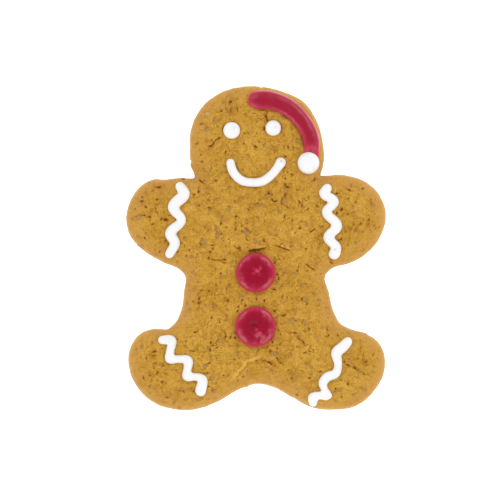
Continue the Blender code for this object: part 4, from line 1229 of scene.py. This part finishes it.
def gingerbread_crust(settings):
    """Gingerbread dough baked until dry: a matt ochre crust with toasted patches, open pores and grains of
    sugar that melted and set. The eye sees a dull, grainy, uneven skin with a paler, smoother rim. Shade in
    its pits, cracks, creases and grooves, under its ridges and flakes and beside the icing, and highlights
    on its ridges, are painted into its colour."""
    tints = (*TINTS, "rim", "crest_highlight_and_fleck", "contact_shadow")
    finish, tree, place, tint = new_finish("baked_gingerbread_crust", tints)
    toast = patches(tree, place, 12.0, 0.36, 0.64, 1.0, 3.0)
    skin = laid_over(tree, settings.ochre, settings.toasted, [toast], "MULTIPLY")
    skin = laid_over(tree, skin, settings.orange, [patches(tree, place, 2.6, 0.48, 0.72, 0.5, 3.0)])
    skin = laid_over(tree, skin, settings.olive, [patches(tree, place, 3.7, 0.5, 0.7, 0.5, 3.0)])
    skin = laid_over(tree, skin, settings.rim, [tint["rim"], patches(tree, place, 5.0, 0.2, 0.6)])
    level = add(tree, "ShaderNodeSeparateXYZ", {0: place}).outputs["Z"]
    for (begins, full), dough in ((PALE_SIDE, settings.side), (TRAY, settings.underside)):
        share = add(tree, "ShaderNodeMapRange", {"Value": level, 1: begins, 2: full}).outputs[0]
        skin = laid_over(tree, skin, dough, [share, 0.8])
    # Flour and crumb are 0.1 to 0.2 mm, too fine to show, so their freckles are drawn from 0.5 mm up.
    inner = add(tree, "ShaderNodeMath", {0: 1.0, 1: tint["rim"]}, operation="SUBTRACT").outputs[0]
    grainy = add(tree, "ShaderNodeMapRange", {"Value": tint["rim"], 3: 1.0, 4: SIDE_GRAIN}).outputs[0]
    # pale flecks of the crust's own, in the colour that also paints the crest highlights
    skin = laid_over(tree, skin, settings.crest_highlight_and_fleck, [grainy, patches(tree, place, 0.8, 0.52, 0.74, 0.62)])
    # mottles of the crust's own darker tone, in the colour that also paints shade
    for size, most in ((0.5, 0.6), (1.4, 0.5), (3.2, 0.45)):
        mottles = patches(tree, place, size, 0.5, 0.73, most)
        skin = laid_over(tree, skin, settings.shade, [grainy, mottles], "MULTIPLY")
    # fine crease lines in patches, darkened with painted shade and pressed into the bump
    wander = add(tree, "ShaderNodeTexNoise", {"Vector": place, "Scale": 1 / 3.0, "Detail": 1.0})
    crease = add(tree, "ShaderNodeMath", {0: wander.outputs["Fac"], 1: 0.5}, operation="PINGPONG")
    crease = add(tree, "ShaderNodeMapRange", {"Value": crease.outputs[0], 1: 0.482, 2: 0.496}).outputs[0]
    crease = add(tree, "ShaderNodeMath", {0: crease, 1: inner}, operation="MULTIPLY").outputs[0]
    crease_shade_patches = patches(tree, place, 4.5, 0.5, 0.64, 1.0)
    skin = laid_over(tree, skin, settings.shade, [crease, crease_shade_patches], "MULTIPLY")
    # painted shade in and round the hollows and grooves, and under ridges
    soft_shade_mask = ragged(tree, place, tint["shade"], 0.55, 0.18, 0.7, 0.5)
    skin = laid_over(tree, skin, settings.shade, [soft_shade_mask], "MULTIPLY")
    # dark floors of pits and cracks, and painted shade in them, in creases, grooves and gaps under flakes
    dark_and_shadow_mask = ragged(tree, place, tint["char"], 0.45, 0.37, 0.66, 0.8)
    skin = laid_over(tree, skin, settings.char, [dark_and_shadow_mask, 0.9])
    sugar = ragged(tree, place, tint["grain"], 0.45, 0.25, 0.6, 0.5)
    # grains of sugar with painted glints on their facets, partly their uneven colour
    grain_with_glints = laid_over(tree, settings.grain, settings.facet_glint_and_mottle, [patches(tree, place, 0.5, 0.42, 0.6)])
    skin = laid_over(tree, skin, grain_with_glints, [sugar])
    # painted highlights on ridge crests and flake lips
    crest_highlight_and_fleck = ragged(tree, place, tint["crest_highlight_and_fleck"], 0.7, 0.25, 0.85, 0.8)
    skin = laid_over(tree, skin, settings.crest_highlight_and_fleck, [crest_highlight_and_fleck, 0.9])
    skin = laid_over(tree, skin, settings.pale, [ragged(tree, place, tint["pale"], 0.4, 0.3, 0.6, 0.4)])
    # painted shadow of the icing on the crust beside it
    skin = laid_over(tree, skin, settings.char, [tint["contact_shadow"], patches(tree, place, 1.6, 0.3, 0.55)])

    crumb = {"Vector": place, "Scale": 1 / 0.6, "Detail": 3.0, "Roughness": 0.65}
    crumb = add(tree, "ShaderNodeTexNoise", crumb)
    sunk = {0: crease, 1: -0.6, 2: crumb.outputs["Fac"]}
    relief = add(tree, "ShaderNodeMath", sunk, operation="MULTIPLY_ADD").outputs[0]
    dull = add(tree, "ShaderNodeMapRange", {"Value": tint["grain"], 1: 0.0, 2: 1.0, 3: 0.78, 4: 0.45})
    look = {"Base Color": skin, "Roughness": dull.outputs[0], "IOR": 1.45, "Specular IOR Level": 0.13}
    return skinned(finish, tree, relief, 1.0, 0.21, look)


def royal_icing(settings):
    """White royal icing, piped and left to set: chalky white with a soft eggshell sheen, so it shows almost
    no highlight, only a faint grey where it curves away, partly painted as shade along its edges."""
    finish = bpy.data.materials.get("set_royal_icing")
    if finish:
        return finish
    finish, tree, place, tint = new_finish("set_royal_icing", ("dip", "edge"))
    white = laid_over(tree, settings.white, settings.edge_shade_and_grey, [patches(tree, place, 1.8, 0.45, 0.75, 0.3)])
    # painted shade along the outline, where the icing curves away
    white = laid_over(tree, white, settings.edge_shade_and_grey, [tint["edge"], 0.6])
    white = laid_over(tree, white, settings.dimple, [tint["dip"]])
    dull = patches(tree, place, 0.9, 0.3, 0.7, 0.15)
    dull = add(tree, "ShaderNodeMath", {0: dull, 1: 0.4}, operation="ADD")
    ripple = add(tree, "ShaderNodeTexNoise", {"Vector": place, "Scale": 1 / 0.8, "Detail": 2.0})
    glow = {"Subsurface Weight": 0.15, "Subsurface Radius": (1.0, 0.9, 0.85), "Subsurface Scale": 0.8 * MM}
    look = {"Base Color": white, "Roughness": dull.outputs[0], "IOR": 1.45, **glow}
    return skinned(finish, tree, ripple.outputs["Fac"], 0.5, 0.05, look)


def red_icing(settings, node):
    """Deep red sugar icing, set with a skin: saturated crimson with soft pinkish sheens on its shoulders, a
    painted pink sheen along its edges and a brighter red where a tip was pulled thin. The hat has dried
    duller than the drops."""
    name, dullest = ("satin_red_icing", 0.29) if node == "hat" else ("glossy_red_icing", 0.2)
    finish = bpy.data.materials.get(name)
    if finish:
        return finish
    finish, tree, place, tint = new_finish(name, ("tip", "dip", "edge", "thick"))
    red = laid_over(tree, settings.red, settings.deep_red, [tint["thick"]])
    red = laid_over(tree, red, settings.deep_red, [patches(tree, place, 2.6, 0.4, 0.7, 0.4)])
    red = laid_over(tree, red, settings.dimple_red, [tint["dip"]])
    red = laid_over(tree, red, settings.thin_red_and_edge_sheen, [tint["tip"], 0.85])
    # painted pink sheen along the outline
    red = laid_over(tree, red, settings.thin_red_and_edge_sheen, [tint["edge"], 0.6])
    dull = patches(tree, place, 1.1, 0.3, 0.7, 0.08)
    dull = add(tree, "ShaderNodeMath", {0: dull, 1: dullest}, operation="ADD")
    ripple = add(tree, "ShaderNodeTexNoise", {"Vector": place, "Scale": 1 / 0.9, "Detail": 2.0})
    look = {"Base Color": red, "Roughness": dull.outputs[0], "IOR": 1.45, "Specular IOR Level": 0.5}
    return skinned(finish, tree, ripple.outputs["Fac"], 0.5, 0.05, look)


def studio_floor(settings):
    """Matt white card: even and very pale, with a faint tooth."""
    finish, tree, place, _ = new_finish("white_card")
    tooth = add(tree, "ShaderNodeTexNoise", {"Vector": place, "Scale": 1 / 1.2, "Detail": 2.0})
    glow = {"Emission Color": (1.0, 1.0, 1.0, 1.0), "Emission Strength": settings.floor_glow}
    look = {"Base Color": settings.floor, "Roughness": 0.9, "Specular IOR Level": 0.1, **glow}
    return skinned(finish, tree, tooth.outputs["Fac"], 0.1, 0.02, look)


# ---- the studio ----

OPENING = (0.45, 0.95)  # height of a unit look upward that leaves the walls, and that meets only the top
LOOK_AT = Vector((-2.03, -0.68))  # middle of the view in plan
LOOK_LEVEL = 0.7 * THICKNESS  # height at which the picture is as wide as the view width says
FLOOR_HALF = 3000.0  # half the width of the floor
FLOOR_LEVEL = -0.02  # a little below the biscuit, so that their faces don't meet


def light_tent(settings):
    """White walls all round, and a dimmer open top that the camera looks in through."""
    world = bpy.data.worlds.new("light_tent")
    world.use_nodes = True
    tree = world.node_tree
    tree.nodes.clear()
    heading = add(tree, "ShaderNodeTexCoord").outputs["Generated"]
    height = add(tree, "ShaderNodeSeparateXYZ", {0: heading}).outputs["Z"]
    opening = {"Value": height, 1: OPENING[0], 2: OPENING[1], 3: settings.walls, 4: settings.ceiling}
    glow = add(tree, "ShaderNodeMapRange", opening, interpolation_type="SMOOTHSTEP").outputs[0]
    sky = add(tree, "ShaderNodeBackground", {"Color": (1.0, 1.0, 1.0, 1.0), "Strength": glow})
    add(tree, "ShaderNodeOutputWorld", {"Surface": sky.outputs[0]})
    bpy.context.scene.world = world


# Each lamp's heading in degrees, its share of the light and its width.
LAMPS = {
    "front_left": (225, 1.15, 290 * MM),
    "front_right": (315, 1.12, 290 * MM),
    "back_right": (45, 1.1, 260 * MM),
    "back_left": (135, 0.75, 230 * MM),
}
LAMP_HEIGHT = math.radians(50)
LAMP_DISTANCE = 600 * MM


def hang_lamps(settings):
    """Four soft lamps, one over each corner, all turned to the biscuit."""
    low, high = (Vector(corner) for corner in cad_box)
    middle = (low + high) / 2
    for corner, (turn, share, width) in LAMPS.items():
        out = math.radians(turn)
        flat = math.cos(LAMP_HEIGHT)
        heading = Vector((math.cos(out) * flat, math.sin(out) * flat, math.sin(LAMP_HEIGHT)))
        lamp = bpy.data.lights.new(f"lamp_{corner}", "AREA")
        lamp.shape = "SQUARE"
        lamp.size = width
        lamp.energy = settings.lamps * share
        holder = into_scene(lamp.name, lamp)
        holder.location = middle + heading * LAMP_DISTANCE
        holder.rotation_mode = "QUATERNION"
        holder.rotation_quaternion = heading.to_track_quat("Z", "Y")


def lay_floor(settings):
    """A large square of pale card under the biscuit."""
    half, level = FLOOR_HALF * MM, FLOOR_LEVEL * MM
    corners = [(-half, -half, level), (half, -half, level), (half, half, level), (-half, half, level)]
    mesh = bpy.data.meshes.new("floor")
    mesh.from_pydata(corners, [], [(0, 1, 2, 3)])
    mesh.materials.append(studio_floor(settings))
    floor = into_scene("floor", mesh)


def place_camera(settings):
    """A long lens straight above the biscuit. The view is centred a little to the left of it and below."""
    lens = bpy.data.cameras.new("camera")
    lens.lens = settings.lens
    lens.sensor_width = 36.0
    away = settings.view_width * lens.lens / lens.sensor_width
    camera = into_scene("camera", lens)
    camera.location = (*(LOOK_AT * MM), LOOK_LEVEL * MM + away)
    lens.clip_start = away / 100
    lens.clip_end = away * 10
    bpy.context.scene.camera = camera


# ---- operators ----


class GINGERBREAD_OT_bake_biscuit(bpy.types.Operator):
    """Bake the biscuit: its rounded side, its pitted crust and its underside"""

    bl_idname = "gingerbread.bake_biscuit"
    bl_label = "Bake Biscuit"

    def execute(self, context):
        bake_crust(context.scene.gingerbread_crust)
        return {"FINISHED"}


class GINGERBREAD_OT_pipe_hat(bpy.types.Operator):
    """Pipe the red hat over the head, with its end under the bobble"""

    bl_idname = "gingerbread.pipe_hat"
    bl_label = "Pipe Hat"

    def execute(self, context):
        outline = widest_loop("hat")
        low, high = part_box("bobble")
        middle = np.array([(low.x + high.x) / 2, (low.y + high.y) / 2]) / MM
        radius = (high.x - low.x) / 2 / MM
        offset = outline - middle
        away = np.linalg.norm(offset, axis=1)[:, None]
        tucked = middle + offset / away * (away - HAT_TUCK)
        outline = np.where(away < radius + BOBBLE_NEAR, tucked, outline)
        pipe("hat", outline, context.scene.gingerbread_icing.red_step / MM)
        return {"FINISHED"}


class GINGERBREAD_OT_pipe_white_lines(bpy.types.Operator):
    """Pipe the white lines: the smile, a wave on each arm and a zigzag on each leg"""

    bl_idname = "gingerbread.pipe_white_lines"
    bl_label = "Pipe White Lines"

    def execute(self, context):
        pipe_each(WHITE_LINES, context.scene.gingerbread_icing.step)
        return {"FINISHED"}


class GINGERBREAD_OT_drop_white_icing(bpy.types.Operator):
    """Drop the white eyes and the bobble of the hat"""

    bl_idname = "gingerbread.drop_white_icing"
    bl_label = "Drop Eyes and Bobble"

    def execute(self, context):
        pipe_each(WHITE_DROPS, context.scene.gingerbread_icing.step)
        return {"FINISHED"}


class GINGERBREAD_OT_drop_buttons(bpy.types.Operator):
    """Drop the two red buttons, with the marks of the nozzle"""

    bl_idname = "gingerbread.drop_buttons"
    bl_label = "Drop Buttons"

    def execute(self, context):
        pipe_each(BUTTONS, context.scene.gingerbread_icing.red_step)
        return {"FINISHED"}


class GINGERBREAD_OT_set_stage(bpy.types.Operator):
    """Lay the pale floor, hang the soft lamps and place the camera"""

    bl_idname = "gingerbread.set_stage"
    bl_label = "Set Stage"

    def execute(self, context):
        settings = context.scene.gingerbread_studio
        light_tent(settings)
        hang_lamps(settings)
        lay_floor(settings)
        place_camera(settings)
        context.scene.view_settings.view_transform = "Standard"
        return {"FINISHED"}


OPERATORS = (
    GINGERBREAD_OT_bake_biscuit,
    GINGERBREAD_OT_pipe_hat,
    GINGERBREAD_OT_pipe_white_lines,
    GINGERBREAD_OT_drop_white_icing,
    GINGERBREAD_OT_drop_buttons,
    GINGERBREAD_OT_set_stage,
)


class GINGERBREAD_PT_panel(bpy.types.Panel):
    """Lists the steps of making the figure, and the sizes and colours of each"""

    bl_label = "Gingerbread Figure"
    bl_idname = "GINGERBREAD_PT_panel"
    bl_space_type = "VIEW_3D"
    bl_region_type = "UI"
    bl_category = "Gingerbread"

    def draw(self, context):
        for operator in OPERATORS:
            self.layout.operator(operator.bl_idname)
        for name in GROUPS:
            box = self.layout.box()
            settings = getattr(context.scene, name)
            for key in settings.__annotations__:
                box.prop(settings, key)


GROUPS = {
    "gingerbread_crust": CrustSettings,
    "gingerbread_icing": IcingSettings,
    "gingerbread_studio": StudioSettings,
}
CLASSES = (*GROUPS.values(), *OPERATORS, GINGERBREAD_PT_panel)


def register():
    for cls in CLASSES:
        bpy.utils.register_class(cls)
    for name, group in GROUPS.items():
        setattr(bpy.types.Scene, name, PointerProperty(type=group))


def unregister():
    for name in GROUPS:
        delattr(bpy.types.Scene, name)
    for cls in reversed(CLASSES):
        bpy.utils.unregister_class(cls)


def main():
    register()
    bpy.ops.gingerbread.bake_biscuit()
    bpy.ops.gingerbread.pipe_hat()
    bpy.ops.gingerbread.pipe_white_lines()
    bpy.ops.gingerbread.drop_white_icing()
    bpy.ops.gingerbread.drop_buttons()
    bpy.ops.gingerbread.set_stage()


if __name__ == "__main__":
    main()
